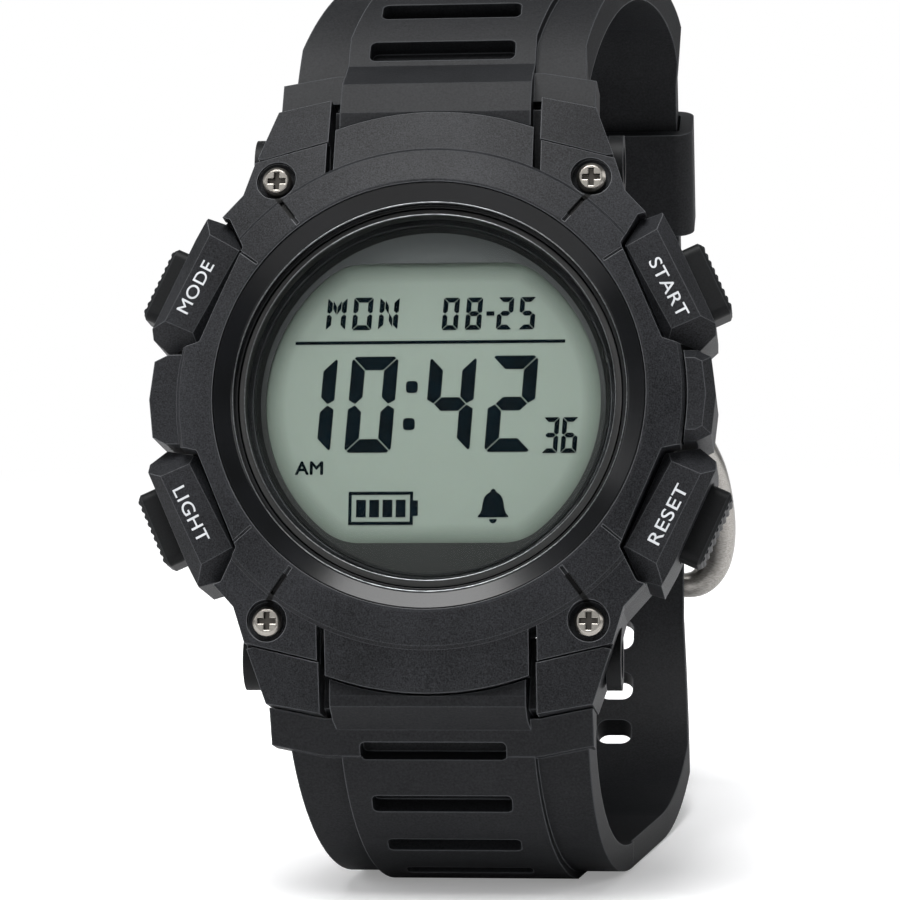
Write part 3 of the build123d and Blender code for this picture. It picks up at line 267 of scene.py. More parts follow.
def mineral_glass():
    """Coated mineral glass: clear, with a faint reflection that grows towards grazing views. Its edge
    sits in the seal, so only its faces reflect."""
    material, tree = new_material("mineral_glass")
    clear = add_node(tree, "ShaderNodeBsdfTransparent", {"Color": linear(GLASS_TINT)})
    gloss = add_node(tree, "ShaderNodeBsdfGlossy", {"Roughness": GLASS_ROUGHNESS})
    fresnel = add_node(tree, "ShaderNodeFresnel", {"IOR": GLASS_INDEX})
    out = add_node(tree, "ShaderNodeVectorMath", {
        "operation": "DOT_PRODUCT", 0: add_node(tree, "ShaderNodeNewGeometry").outputs["True Normal"],
        1: FACE_OUT})
    level = add_node(tree, "ShaderNodeMath", {
        "operation": "GREATER_THAN", 0: out.outputs["Value"], 1: FACE_COSINE})
    coated = add_node(tree, "ShaderNodeMath", {
        "operation": "MULTIPLY", 0: fresnel.outputs[0], 1: COATED_SHARE})
    faint = add_node(tree, "ShaderNodeMath", {
        "operation": "MULTIPLY", 0: coated.outputs[0], 1: level.outputs[0]})
    mix = add_node(tree, "ShaderNodeMixShader", {
        0: faint.outputs[0], 1: clear.outputs[0], 2: gloss.outputs[0]})
    add_node(tree, "ShaderNodeOutputMaterial", {"Surface": mix.outputs[0]})
    return material


def face_position(tree):
    """Place on the face in metres, as separate X to the right, Y into the face and Z up it."""
    turn = Matrix.Rotation(LEAN, 3, "X")
    place = add_node(tree, "ShaderNodeTexCoord").outputs["Object"]
    turned = add_node(tree, "ShaderNodeMapping", {
        "Location": tuple(-(turn @ FACE_MIDDLE)), "Rotation": (LEAN, 0, 0), "Vector": place})
    return add_node(tree, "ShaderNodeSeparateXYZ", {"Vector": turned.outputs["Vector"]}).outputs


def reach_from(tree, across, up, place):
    """Distance on the face from a spot in every quarter, in metres."""
    offsets = []
    for axis, middle in (("X", across), ("Z", up)):
        side = add_node(tree, "ShaderNodeMath", {"operation": "ABSOLUTE", 0: place[axis]})
        offsets.append(add_node(tree, "ShaderNodeMath", {
            "operation": "SUBTRACT", 0: side.outputs[0], 1: middle * MM}))
    flat = add_node(tree, "ShaderNodeCombineXYZ", {0: offsets[0].outputs[0], 1: offsets[1].outputs[0]})
    reach = add_node(tree, "ShaderNodeVectorMath", {"operation": "LENGTH", 0: flat.outputs[0]})
    return reach.outputs["Value"]


# Painted shade of the wide grooves of the bezel: angle, inner and outer end, half width of the shade and of
# its fading, in mm
GROOVE_ANGLE = radians(52.5)
GROOVE_START = 19.9
GROOVE_END = 24.6
SHADE_HALF_WIDTH = 0.2
SHADE_FADE = 0.28
GROOVE_SHADE = "050505"


def groove_shade_share(tree):
    """One in the four wide grooves of the bezel, which run straight out from the middle of the face, where a
    dark stripe of painted shade lies.
    """
    place = face_position(tree)
    sides = [add_node(tree, "ShaderNodeMath", {"operation": "ABSOLUTE", 0: place[axis]}) for axis in "XZ"]
    quarter = add_node(tree, "ShaderNodeCombineXYZ", {0: sides[0].outputs[0], 1: sides[1].outputs[0]})
    turned = add_node(tree, "ShaderNodeMapping", {
        "Rotation": (0, 0, -GROOVE_ANGLE), "Vector": quarter.outputs[0]})
    apart = add_node(tree, "ShaderNodeSeparateXYZ", {"Vector": turned.outputs["Vector"]}).outputs
    aside = add_node(tree, "ShaderNodeMath", {"operation": "ABSOLUTE", 0: apart["Y"]})
    share = add_node(tree, "ShaderNodeMapRange", {
        "From Min": SHADE_FADE * MM, "From Max": SHADE_HALF_WIDTH * MM, "Value": aside.outputs[0]})
    for comparison, limit in (("GREATER_THAN", GROOVE_START), ("LESS_THAN", GROOVE_END)):
        inside = add_node(tree, "ShaderNodeMath", {"operation": comparison, 0: apart["X"], 1: limit * MM})
        share = add_node(tree, "ShaderNodeMath", {
            "operation": "MULTIPLY", 0: share.outputs[0], 1: inside.outputs[0]})
    return share.outputs[0]


# Bezel screws: place in every quarter, spacing of the lathe's rings, depth and reach of the painted
# shade in the cross recess, and the rounding of edges, in mm. The real rings are finer, and they are
# drawn as coarse as they need to show
SCREW_ACROSS = 13.91
SCREW_UP = 19.59
LATHE_PITCH = 0.09
RECESS_SHADE_DEPTH = 0.06
RECESS_SHADE_REACH = 1.0
SCREW_EDGE = 0.14


def screw_material():
    """Turned stainless screw: fine rings left by the lathe, and a cross recess darkened with painted
    shade."""
    material, tree = new_material("turned_stainless_steel")
    place = face_position(tree)
    reach = reach_from(tree, SCREW_ACROSS, SCREW_UP, place)
    phase = add_node(tree, "ShaderNodeMath", {
        "operation": "MULTIPLY", 0: reach, 1: 2 * pi / (LATHE_PITCH * MM)})
    rings = add_node(tree, "ShaderNodeMath", {"operation": "SINE", 0: phase.outputs[0]})
    share = add_node(tree, "ShaderNodeMapRange", {"From Min": -1.0, "Value": rings.outputs[0]})
    tone = add_node(tree, "ShaderNodeValToRGB", {
        "color_ramp": (("8D8983", 0.0), ("A6A29B", 1.0)), "Fac": share.outputs[0]})
    # Painted shade: below the head's top and near the screw's middle, the cross recess is mixed to a dark tone
    deep = add_node(tree, "ShaderNodeMath", {
        "operation": "GREATER_THAN", 0: place["Y"], 1: -(SCREW_HEIGHT - RECESS_SHADE_DEPTH) * MM})
    inside = add_node(tree, "ShaderNodeMath", {"operation": "LESS_THAN", 0: reach, 1: RECESS_SHADE_REACH * MM})
    recess = add_node(tree, "ShaderNodeMath", {
        "operation": "MULTIPLY", 0: deep.outputs[0], 1: inside.outputs[0]})
    colour = add_node(tree, "ShaderNodeMix", {
        "data_type": "RGBA", 0: recess.outputs[0], 6: tone.outputs["Color"], 7: linear("4B4844")})
    rounding = add_node(tree, "ShaderNodeBevel", {"samples": BEVEL_SAMPLES, "Radius": SCREW_EDGE * MM})
    shader = add_node(tree, "ShaderNodeBsdfPrincipled", {
        "Roughness": 0.3, "Metallic": 1.0, "Base Color": colour.outputs[2],
        "Normal": rounding.outputs["Normal"]})
    add_node(tree, "ShaderNodeOutputMaterial", {"Surface": shader.outputs[0]})
    return material


# Painted shadow of the mask on the display, in shares of the window's radius, and the diffuser's mottle in mm
SHADOW_STRETCH = (0.88, 1.02)
MOTTLE_SIZE = 0.35
MOTTLE_SHARE = 0.06


def display_material():
    """Reflective liquid crystal cell: grey-green rear film, darkened towards its rim by a painted shadow
    of the mask, with a faint mottle of the diffuser."""
    material, tree = new_material("reflective_display")
    place = face_position(tree)
    height = add_node(tree, "ShaderNodeMath", {"operation": "ABSOLUTE", 0: place["Z"]})
    raised = add_node(tree, "ShaderNodeMath", {
        "operation": "ADD", 0: height.outputs[0], 1: (WINDOW_RADIUS - WINDOW_HALF_HEIGHT) * MM})
    far = add_node(tree, "ShaderNodeMath", {
        "operation": "MAXIMUM", 0: reach_from(tree, 0, 0, place), 1: raised.outputs[0]})
    share = add_node(tree, "ShaderNodeMath", {
        "operation": "DIVIDE", 0: far.outputs[0], 1: WINDOW_RADIUS * MM})
    # Painted shadow of the mask: the film's tone darkens over the last part of the window's radius
    tone = add_node(tree, "ShaderNodeValToRGB", {
        "color_ramp": zip(("89928A", "59625A"), SHADOW_STRETCH), "Fac": share.outputs[0]})
    mottle = add_node(tree, "ShaderNodeTexNoise", {
        "Scale": 1 / (MOTTLE_SIZE * MM), "Detail": SOFT_DETAIL,
        "Vector": add_node(tree, "ShaderNodeTexCoord").outputs["Object"]})
    mottled = add_node(tree, "ShaderNodeMix", {
        "data_type": "RGBA", "blend_type": "MULTIPLY", 0: MOTTLE_SHARE, 6: tone.outputs["Color"],
        7: mottle.outputs["Color"]})
    shader = add_node(tree, "ShaderNodeBsdfPrincipled", {"Roughness": 0.5, "Base Color": mottled.outputs[2]})
    add_node(tree, "ShaderNodeOutputMaterial", {"Surface": shader.outputs[0]})
    return material


# Painted light on the dial: height on the face over and under its middle where its tones end, in mm, and their
# stretch
DIAL_LIGHT_REACH = 15
DIAL_LIGHT_STRETCH = (0.45, 0.95)


def dial_material():
    """Printed dial ring: satin dark grey, with painted light that makes it a little lighter towards twelve."""
    material, tree = new_material("printed_dial_grey")
    rise = add_node(tree, "ShaderNodeMapRange", {
        "From Min": -DIAL_LIGHT_REACH * MM, "From Max": DIAL_LIGHT_REACH * MM, "Value": face_position(tree)["Z"]})
    tone = add_node(tree, "ShaderNodeValToRGB", {
        "color_ramp": zip(("121313", "515254"), DIAL_LIGHT_STRETCH), "Fac": rise.outputs[0]})
    shader = add_node(tree, "ShaderNodeBsdfPrincipled", {
        "Roughness": 0.6, "Base Color": tone.outputs["Color"]})
    add_node(tree, "ShaderNodeOutputMaterial", {"Surface": shader.outputs[0]})
    return material


# Resins. Case: matt black with a visible grain. Bezel: the same, a shade lighter, so it stands off the
# case. Strap: smoother and duller, as rubbed rubber. Buttons: fine and dark, without sparkle
# The third colour of each resin is the tone of its painted edge highlight
case_resin = moulded("moulded_resin_case", "0A0B0C", "292A2D", "6E7073", 0.13, 0.03, 0.5, 0.15)
bezel_resin = moulded("moulded_resin_bezel", "0B0C0D", "2D2E31", "727477", 0.13, 0.032, 0.48, 0.13, True)
strap_resin = moulded("moulded_resin_strap", "111214", "202123", "55575A", 0.2, 0.018, 0.52, 0.22)
button_resin = moulded("moulded_resin_button", "0E0F10", "161718", "4A4C4F", 0.12, 0.008, 0.5, 0.12)
# Polished cone round the glass, which mirrors the lamp below, and the satin ring under the glass
gloss_black = smooth_finish("polished_black_resin", "0A0B0C", "101113", 6.0, 0.2, 0.08, 0.22)
ring_black = smooth_finish("satin_black_ring", "0C0D0E", "151617", 3.0, 0.4, 0.0, 0.15)
# Metals. Screws: lathe rings. Buckle: soft satin gleam. Case back: brushed. Rim lines: thin bright arcs
screw_steel = screw_material()
buckle_steel = turned_metal("satin_stainless_steel", "ABA8A3", "85827E", 0.4, 0.3, 0.5)
back_steel = turned_metal("brushed_stainless_steel", "BDBBB6", "96938E", 0.3, 0.38, 0.15)
steel = turned_metal("spring_steel", "B4B4B2", "8F8F8D", 0.6, 0.35, 0.06)
brass = turned_metal("rolled_brass", "B8924F", "97763C", 0.4, 0.35, 0.1)
bright_rim = turned_metal("polished_steel_rim", "8B8D8F", "5F6163", 0.8, 0.3, 0.03)
# Face: clear glass, dial with painted light that makes it lighter at twelve, pale display with a painted
# shadow at its rim, near-black figures and grey-white words
glass = mineral_glass()
dial_grey = dial_material()
display_green = display_material()
segment_ink = smooth_finish("polarised_segment", "060D11", "081319", 2.0, 0.6, 0.0, 0.0)
label_paint = smooth_finish("white_pad_print", "B7B9BC", "C6C8CB", 2.0, 0.55)
# Inside: dull rubber, green board, white film and dark epoxy
rubber = smooth_finish("nitrile_rubber", "121212", "1C1C1C", 3.0, 0.7)
board = smooth_finish("board_laminate", "174A2B", "226038", 4.0, 0.4)
white_film = smooth_finish("diffuser_film", "CED3CC", "DDE1DA", 5.0, 0.5)
epoxy = smooth_finish("moulded_epoxy", "151618", "1E2023", 2.0, 0.5)

FINISHES = {
    "case_body": case_resin, "bezel": bezel_resin, "bezel_screws": screw_steel, "crystal": glass,
    "crystal_seal": rubber, "crystal_ring": gloss_black, "rehaut_ring": ring_black, "dial_mask": dial_grey,
    "display_panel": display_green, "backlight_panel": white_film, "module_frame": epoxy,
    "circuit_board": board, "control_chip": epoxy, "quartz_can": steel, "display_connectors": rubber,
    "battery": steel, "battery_clip": steel, "sounder": brass, "switch_leaves": steel,
    "case_back": back_steel, "case_back_gasket": rubber, "case_back_screws": screw_steel,
    "upper_strap_pin": steel, "lower_strap_pin": steel, "upper_pin_screws": button_resin,
    "lower_pin_screws": button_resin, "upper_strap": strap_resin, "lower_strap": strap_resin,
    "strap_keeper": strap_resin, "buckle_frame": buckle_steel, "buckle_bar": steel,
    "buckle_tongue": buckle_steel}
for side in ("mode", "light", "start", "reset"):
    FINISHES[f"{side}_button"] = button_resin
    FINISHES[f"{side}_button_clip"] = steel
    FINISHES[f"{side}_button_seal"] = rubber
    FINISHES[f"{side}_button_spring"] = steel
for name, finish in FINISHES.items():
    for slot in nodes[name].material_slots:
        slot.material = finish


def finish_piece(work, name, material, matrix, body="watch"):
    """Turn a bmesh in its own units into a piece that rides on a body."""
    bmesh.ops.transform(work, matrix=matrix, verts=work.verts)
    bmesh.ops.recalc_face_normals(work, faces=work.faces)
    mesh = bpy.data.meshes.new(name)
    work.to_mesh(mesh)
    work.free()
    mesh.materials.append(material)
    piece = bpy.data.objects.new(name, mesh)
    bpy.context.scene.collection.objects.link(piece)
    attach(piece, body)
    return piece


# Thickness of a print, and the gap under it, in mm
PRINT_THICKNESS = 0.03
PRINT_GAP = 0.01


def thicken(work):
    """Give every flat face the thickness of the print."""
    made = bmesh.ops.extrude_face_region(work, geom=work.faces[:])["geom"]
    top = [v for v in made if isinstance(v, bmesh.types.BMVert)]
    bmesh.ops.translate(work, vec=(0, 0, PRINT_THICKNESS), verts=top)


def flat_shape(work, points, left=0.0, bottom=0.0, slant=0.0):
    """Flat face through points in millimetres, moved and leaning to the right."""
    return work.faces.new([work.verts.new((left + x + y * slant, bottom + y, 0)) for x, y in points])


def block(work, left, bottom, width, height):
    """Plain flat rectangle."""
    flat_shape(work, [(0, 0), (width, 0), (width, height), (0, height)], left, bottom)


def segments(w, h, t):
    """Outlines of the bars of a figure of width w and height h, in shares of the bar's thickness t: a to g
    as usual, and the slanting bars of M and N."""
    m = h / 2
    upper = [(w, h - 0.3 * t), (w - 0.15 * t, h - 0.15 * t), (w - t, h - t), (w - t, m + 0.5 * t),
             (w - 0.5 * t, m), (w, m + 0.3 * t)]
    slope = [(t, h - 0.4 * t), (t, h - 2.1 * t), (w / 2, m - 0.3 * t), (w / 2, m + 1.3 * t)]
    top = [(0.3 * t, h), (w - 0.3 * t, h), (w - 0.15 * t, h - 0.15 * t), (w - t, h - t), (t, h - t),
           (0.15 * t, h - 0.15 * t)]
    middle = [(0.5 * t, m), (t, m + 0.5 * t), (w - t, m + 0.5 * t), (w - 0.5 * t, m),
              (w - t, m - 0.5 * t), (t, m - 0.5 * t)]
    return {"a": top, "b": upper, "c": [(x, h - y) for x, y in upper], "d": [(x, h - y) for x, y in top],
            "e": [(w - x, h - y) for x, y in upper], "f": [(w - x, y) for x, y in upper], "g": middle,
            "m": slope, "n": [(w - x, y) for x, y in slope], "x": [(w - x, h - y) for x, y in slope]}


# Figures of the display: characters, left edges, bottom, width, height, bar width and half a gap in mm
SLANT = 0.07
GLYPHS = {"0": "abcdef", "1": "bc", "2": "abged", "3": "abgcd", "4": "fgbc", "5": "afgcd", "6": "afgcde",
          "8": "abcdefg", "M": "efmnbc", "O": "abcdef", "N": "efmxbc"}
FIGURES = (("MON", (-9.65, -7.33, -5.01), 6.53, 1.78, 2.99, 0.5, 0.03),
           ("0825", (0.63, 2.68, 5.43, 7.39), 6.47, 1.48, 2.96, 0.49, 0.03),
           ("1042", (-13.2, -7.83, -0.91, 4.5), -4.47, 4.2, 8.67, 1.3, 0.05),
           ("36", (9.5, 11.17), -4.58, 1.46, 3.23, 0.47, 0.03))

# Rectangles, each as left, bottom, width and height in mm: the dash of the date and the dividing line,
# then the four sides and the tip of the battery
LINES = ((4.62, 7.76, 0.7, 0.38), (-12.27, 5.28, 23.85, 0.28))
BATTERY = ((-7.3, -10.84, 5.68, 0.28), (-7.3, -8.18, 5.68, 0.28), (-7.3, -10.56, 0.28, 2.38),
           (-1.9, -10.56, 0.28, 2.38), (-1.62, -10.05, 0.42, 1.37))
CHARGE_BARS = [(-6.62 + index * 1.163, -10.16, 0.855, 1.54) for index in range(4)]

# Dots of the colon: middles, half sizes, and an outline of shares of them
COLON = ((-1.88, 1.41), (-2.1, -1.9))
DOT_HALF = (0.52, 0.53)
DOT_SHARES = [(1, 0.5), (0.85, 0.85), (0.5, 1), (-0.5, 1), (-0.85, 0.85), (-1, 0.5),
              (-1, -0.5), (-0.85, -0.85), (-0.5, -1), (0.5, -1), (0.85, -0.85), (1, -0.5)]

# Bell: right half of the dome that flares to a brim and ends in a knob, and the clapper's half round
BELL_HALF = [(1.32, 0), (1.33, 0.14), (1.12, 0.36), (0.98, 0.72), (0.92, 1.25), (0.8, 1.72), (0.56, 2.05),
             (0.24, 2.22), (0.2, 2.42), (0.08, 2.5)]
BELL_PLACE = (5.39, -10.2)
CLAPPER = [(0.34 * cos(pi * i / 8), 0.38 * sin(pi * i / 8)) for i in range(8, 17)]
CLAPPER_PLACE = (5.39, -10.36)


def display_print():
    """Day, date, time, seconds, battery and bell, as dark segments with fine gaps."""
    work = bmesh.new()
    for characters, lefts, bottom, width, height, thickness, gap in FIGURES:
        shapes = segments(width, height, thickness)
        bars = [flat_shape(work, shapes[segment], left, bottom, SLANT)
                for character, left in zip(characters, lefts) for segment in GLYPHS[character]]
        work.normal_update()
        rims = bmesh.ops.inset_individual(work, faces=bars, thickness=gap, use_even_offset=True)["faces"]
        bmesh.ops.delete(work, geom=rims, context="FACES")
    for rectangle in LINES:
        block(work, *rectangle)
    for across, up in COLON:
        flat_shape(work, [(x * DOT_HALF[0], y * DOT_HALF[1]) for x, y in DOT_SHARES], across, up)
    for rectangle in (*BATTERY, *CHARGE_BARS):
        block(work, *rectangle)
    flat_shape(work, BELL_HALF + [(-x, y) for x, y in reversed(BELL_HALF)], *BELL_PLACE)
    flat_shape(work, CLAPPER, *CLAPPER_PLACE)
    thicken(work)
    finish_piece(work, "display_segments", segment_ink, face_matrix(DISPLAY_HEIGHT + PRINT_GAP))


display_print()

# Room between letters, distance that joins double points in shares of the letter size, and the step
# down from one copy of a word to the next in mm
LETTER_SPACE = 1.06
JOIN_DISTANCE = 0.0005
COPY_STEP = 0.002


def printed_word(word, name, length, height, weight, material, slot, matrix):
    """Word as a thin layer of print, centred, of a length, cap height and added weight in mm."""
    curve = bpy.data.curves.new(f"{name}_text", "FONT")
    curve.body = word
    curve.size = 1.0
    curve.space_character = LETTER_SPACE
    written = bpy.data.objects.new(f"{name}_text", curve)
    bpy.context.scene.collection.objects.link(written)
    bpy.context.view_layer.update()
    flat = bpy.data.meshes.new_from_object(written)
    bpy.data.objects.remove(written)
    bpy.data.curves.remove(curve)
    work = bmesh.new()
    work.from_mesh(flat)
    bpy.data.meshes.remove(flat)
    bmesh.ops.remove_doubles(work, verts=work.verts, dist=JOIN_DISTANCE)
    lows = [min(v.co[axis] for v in work.verts) for axis in (0, 1)]
    highs = [max(v.co[axis] for v in work.verts) for axis in (0, 1)]
    to_middle = (-(lows[0] + highs[0]) / 2, -(lows[1] + highs[1]) / 2, 0)
    to_size = (length / (highs[0] - lows[0]), height / (highs[1] - lows[1]), 1)
    bmesh.ops.translate(work, vec=to_middle, verts=work.verts)
    bmesh.ops.scale(work, vec=to_size, verts=work.verts)
    thicken(work)
    # Copies shifted to every side make the strokes bolder, each a little lower than the last
    first = work.verts[:] + work.edges[:] + work.faces[:]
    for i, (x, y) in enumerate(((1, 0), (-1, 0), (0, 1), (0, -1))):
        copied = bmesh.ops.duplicate(work, geom=first)["geom"]
        bmesh.ops.translate(work, vec=(x * weight, y * weight, -COPY_STEP * (i + 1)),
                            verts=[v for v in copied if isinstance(v, bmesh.types.BMVert)])
    finish_piece(work, name, material, matrix)


# Morning mark of the display: place, length, cap height and added weight in mm
MORNING_PLACE = (-10.84, -5.77, 0)
MORNING_SIZE = (2.4, 1.12, 0.05)
printed_word("AM", "display_morning_mark", *MORNING_SIZE, segment_ink, "dial_black",
             face_matrix(DISPLAY_HEIGHT + PRINT_GAP) @ Matrix.Translation(MORNING_PLACE))

# Function words on the four guards: place across and up, reading direction in degrees, and length
CAP_HEIGHT = 1.12
LABEL_WEIGHT = 0.006
LABELS = {"MODE": (-20.85, 9.95, 62.5, 5.0), "LIGHT": (-20.7, -10.3, -62.5, 5.3),
          "START": (20.75, 9.5, -62.5, 5.7), "RESET": (20.7, -10.45, 62.5, 5.6)}
for word, (across, up, angle, length) in LABELS.items():
    place = Matrix.Translation((across, up, 0)) @ Matrix.Rotation(radians(angle), 4, "Z")
    printed_word(word, f"label_{word.lower()}", length, CAP_HEIGHT, LABEL_WEIGHT, label_paint, "screw_steel",
                 face_matrix(GUARD_HEIGHT) @ place)

RIM_SIDES = 10
RIM_STEPS = 144


def rim_line(name, radius, thickness, height):
    """Thin polished ring that catches the light round the glass."""
    work = bmesh.new()
    bmesh.ops.create_circle(work, segments=RIM_SIDES, radius=thickness)
    bmesh.ops.rotate(work, matrix=Matrix.Rotation(pi / 2, 3, "X"), verts=work.verts)
    bmesh.ops.translate(work, vec=(radius, 0, 0), verts=work.verts)
    bmesh.ops.spin(work, geom=work.verts[:] + work.edges[:], cent=(0, 0, 0), axis=(0, 0, 1), angle=2 * pi,
                   steps=RIM_STEPS, use_merge=True)
    finish_piece(work, name, bright_rim, face_matrix(height))


rim_line("outer_rim_line", 17.2, 0.06, RING_LIP_HEIGHT)
rim_line("inner_rim_line", 16.2, 0.05, GLASS_RIM_HEIGHT)

# Rounding of the window's corners, with the foot and thickness that bring the plates level with the
# mask, in mm, and the number of steps in their two arcs
CORNER_RADIUS = 5.0
MASK_FOOT = 0.04
MASK_THICKNESS = 0.31
INNER_STEPS = 16
OUTER_STEPS = 12


def window_corners():
    """Rounded corners of the window, as thin plates level with the mask round it."""
    depth = WINDOW_HALF_HEIGHT - CORNER_RADIUS
    across = ((WINDOW_RADIUS - CORNER_RADIUS) ** 2 - depth ** 2) ** 0.5
    corner = (WINDOW_RADIUS ** 2 - WINDOW_HALF_HEIGHT ** 2) ** 0.5
    last = pi / 2 - atan2(depth, across)
    outline = [(corner, WINDOW_HALF_HEIGHT)]
    for i in range(INNER_STEPS + 1):
        turn = last * i / INNER_STEPS
        outline.append((across + CORNER_RADIUS * sin(turn), depth + CORNER_RADIUS * cos(turn)))
    first, final = atan2(outline[-1][1], outline[-1][0]), atan2(WINDOW_HALF_HEIGHT, corner)
    for i in range(1, OUTER_STEPS):
        turn = first + (final - first) * i / OUTER_STEPS
        outline.append((WINDOW_RADIUS * cos(turn), WINDOW_RADIUS * sin(turn)))
    work = bmesh.new()
    for side in (1, -1):
        for end in (1, -1):
            flat_shape(work, [(x * side, y * end) for x, y in outline][::side * end])
    thicken(work)
    bmesh.ops.scale(work, vec=(1, 1, MASK_THICKNESS / PRINT_THICKNESS), verts=work.verts)
    finish_piece(work, "mask_corners", dial_grey, face_matrix(DISPLAY_HEIGHT + MASK_FOOT))


window_corners()


def smooth_path(points, steps):
    """Smooth line through points, with a number of steps between two of them."""
    line = []
    ends = [points[0] * 2 - points[1]] + points + [points[-1] * 2 - points[-2]]
    for before, start, stop, after in zip(ends, ends[1:], ends[2:], ends[3:]):
        for i in range(steps):
            t = i / steps
            line.append(0.5 * (2 * start + (stop - before) * t
                               + (2 * before - 5 * start + 4 * stop - after) * t ** 2
                               + (3 * start - before - 3 * stop + after) * t ** 3))
    return line + [points[-1]]


# One half of the buckle's strip, from its end at the bar to the middle of the crossbar. Each row holds
# the place beside the strap's middle, behind and above, then the half width and half depth, in mm
BUCKLE_ROWS = ((13.3, 25.75, 38.1, 0.75, 0.8), (13.35, 25.9, 37.85, 0.98, 1.15),
               (13.5, 26.15, 37.2, 1.05, 1.3), (14.5, 27.5, 34.0, 1.4, 1.3),
               (15.0, 29.4, 30.2, 1.6, 1.3), (15.05, 30.9, 26.6, 1.65, 1.25),
               (14.4, 31.7, 23.7, 1.6, 1.2), (12.9, 31.95, 21.9, 1.4, 1.15),
               (10.4, 31.95, 21.6, 1.2, 1.1), (6.0, 31.95, 22.0, 1.1, 1.1),
               (0.0, 31.95, 22.0, 1.1, 1.1))
STRIP_STEPS = 6
STRIP_SIDES = 20
# Power under one, which squares the strip's round section up and leaves its edges rounded
STRIP_POWER = 0.7


def rounded_buckle():
    """Buckle frame of one bent strip with rounded edges, whose sides bow out past the strap."""
    half = [Vector(row) for row in BUCKLE_ROWS]
    line = smooth_path(half + [Vector((-r[0], *r[1:])) for r in reversed(half[:-1])], STRIP_STEPS)
    work = bmesh.new()
    rings = []
    for i, row in enumerate(line):
        along = Vector(line[min(i + 1, len(line) - 1)][:3]) - Vector(line[max(i - 1, 0)][:3])
        across = Vector((0, 1, 0)).cross(along).normalized()
        deep = along.cross(across).normalized()
        middle = Vector((row[0] + LOOP_SWAY, row[1], row[2]))
        ring = []
        for k in range(STRIP_SIDES):
            c, s = cos(2 * pi * k / STRIP_SIDES), sin(2 * pi * k / STRIP_SIDES)
            ring.append(work.verts.new(middle + across * row[3] * copysign(abs(c) ** STRIP_POWER, c)
                                       + deep * row[4] * copysign(abs(s) ** STRIP_POWER, s)))
        rings.append(ring)
    for first, second in zip(rings, rings[1:]):
        for k in range(STRIP_SIDES):
            after = (k + 1) % STRIP_SIDES
            work.faces.new((first[k], first[after], second[after], second[k]))
    work.faces.new(rings[0][::-1])
    work.faces.new(rings[-1])
    piece = finish_piece(work, "bowed_buckle_frame", buckle_steel,
                         Matrix.Diagonal((MM, MM, MM, 1)), "buckle")
    for face in piece.data.polygons:
        face.use_smooth = True
    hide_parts("buckle_frame")


rounded_buckle()


def return_springs():
    """Return spring of each button, as a copy that takes the place of the spring on the watch."""
    for joint in frame["joints"]:
        spring = f"{joint['child']}_spring"
        if spring not in nodes:
            continue
        work = bmesh.new()
        work.from_mesh(nodes[spring].data)
        bmesh.ops.remove_doubles(work, verts=work.verts, dist=0.001 * MM)
        piece = finish_piece(work, f"{joint['child']}_coil", steel, Matrix.Identity(4))
        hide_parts(spring)
        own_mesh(piece)


return_springs()

# Sweep of floor and backdrop in metres: half width, where it starts to rise, its bend and its top
SWEEP_HALF = 1.5
SWEEP_RISE = 0.6
SWEEP_BEND = 0.5
SWEEP_TOP = 2.0
# Brightness that the camera adds to the floor, and distances where it fades to plain white, in metres
FLOOR_GLOW = 0.25
WHITE_BEGIN = 0.15
WHITE_COMPLETE = 0.45
WORLD_STRENGTH = 0.17
# Each lamp's place and size in metres, and its power in watts
LAMPS = (("top_lamp", (-0.1, -0.3, 0.8), 0.5, 10.5), ("front_lamp", (-0.25, -0.9, 0.45), 0.6, 1.0),
         ("left_lamp", (-0.7, -0.1, 0.35), 0.4, 1.6), ("right_lamp", (0.7, -0.1, 0.4), 0.4, 1.4))
LAMP_AIM = Vector((0, 0, 0.04))


def seen_by_camera(tree, plain, seen):
    """Surface that is one shader to the camera and another to all other rays."""
    paths = add_node(tree, "ShaderNodeLightPath")
    mix = add_node(tree, "ShaderNodeMixShader", {
        0: paths.outputs["Is Camera Ray"], 1: plain.outputs[0], 2: seen.outputs[0]})
    return mix.outputs[0]


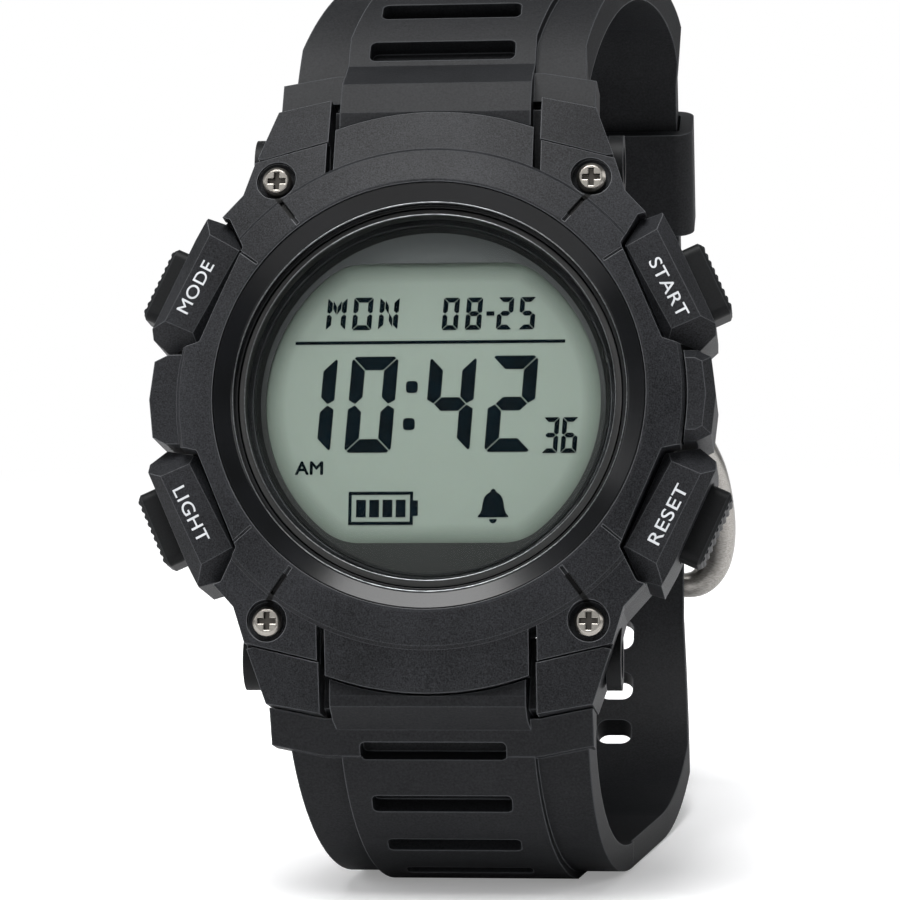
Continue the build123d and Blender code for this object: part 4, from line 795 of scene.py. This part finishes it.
def sweep_material():
    """Matt white paper: it takes soft shadows near the watch, and further off the camera sees it
    plain white."""
    material, tree = new_material("matte_white_sweep")
    paper = add_node(tree, "ShaderNodeBsdfDiffuse", {"Color": linear("F2F2F3")})
    glow = add_node(tree, "ShaderNodeEmission", {"Color": linear("FFFFFF"), "Strength": FLOOR_GLOW})
    near = add_node(tree, "ShaderNodeAddShader", {0: paper.outputs[0], 1: glow.outputs[0]})
    place = add_node(tree, "ShaderNodeTexCoord").outputs["Object"]
    reach = add_node(tree, "ShaderNodeVectorMath", {"operation": "LENGTH", 0: place})
    far = add_node(tree, "ShaderNodeMapRange", {
        "interpolation_type": "SMOOTHSTEP", "From Min": WHITE_BEGIN, "From Max": WHITE_COMPLETE,
        "Value": reach.outputs["Value"]})
    white = add_node(tree, "ShaderNodeEmission", {"Color": linear("FFFFFF"), "Strength": 1.0})
    fading = add_node(tree, "ShaderNodeMixShader", {
        0: far.outputs[0], 1: near.outputs[0], 2: white.outputs[0]})
    add_node(tree, "ShaderNodeOutputMaterial", {"Surface": seen_by_camera(tree, paper, fading)})
    return material


def lay_sweep():
    """Pale floor that bends up to a backdrop."""
    work = bmesh.new()
    edges = [work.edges.new([work.verts.new((x, -SWEEP_HALF, 0)) for x in (-SWEEP_HALF, SWEEP_HALF)])]
    bend = [(SWEEP_RISE + SWEEP_BEND * sin(a), SWEEP_BEND - SWEEP_BEND * cos(a))
            for a in (pi / 8, pi / 4, 3 * pi / 8, pi / 2)]
    for y, z in [(SWEEP_RISE, 0.0)] + bend + [(SWEEP_RISE + SWEEP_BEND, SWEEP_TOP)]:
        made = bmesh.ops.extrude_edge_only(work, edges=edges)["geom"]
        for vert in [v for v in made if isinstance(v, bmesh.types.BMVert)]:
            vert.co.y, vert.co.z = y, z
        edges = [e for e in made if isinstance(e, bmesh.types.BMEdge)]
    bmesh.ops.recalc_face_normals(work, faces=work.faces)
    mesh = bpy.data.meshes.new("floor")
    work.to_mesh(mesh)
    work.free()
    mesh.materials.append(sweep_material())
    for face in mesh.polygons:
        face.use_smooth = True
    floor = bpy.data.objects.new("floor", mesh)
    bpy.context.scene.collection.objects.link(floor)


def light_room():
    """Dim even room that the camera sees as white, a large soft lamp above and weaker ones at the sides."""
    world = bpy.data.worlds.new("room")
    bpy.context.scene.world = world
    world.use_nodes = True
    tree = world.node_tree
    tree.nodes.clear()
    soft = add_node(tree, "ShaderNodeBackground", {"Color": linear("F4F5F6"), "Strength": WORLD_STRENGTH})
    white = add_node(tree, "ShaderNodeBackground", {"Color": linear("FFFFFF"), "Strength": 1.0})
    add_node(tree, "ShaderNodeOutputWorld", {"Surface": seen_by_camera(tree, soft, white)})
    for name, place, size, power in LAMPS:
        lamp = bpy.data.lights.new(name, "AREA")
        lamp.size = size
        lamp.energy = power
        spot = bpy.data.objects.new(name, lamp)
        spot.location = place
        spot.rotation_euler = (LAMP_AIM - Vector(place)).to_track_quat("-Z", "Y").to_euler()
        bpy.context.scene.collection.objects.link(spot)


lay_sweep()
light_room()
bpy.context.scene.view_settings.view_transform = "Standard"
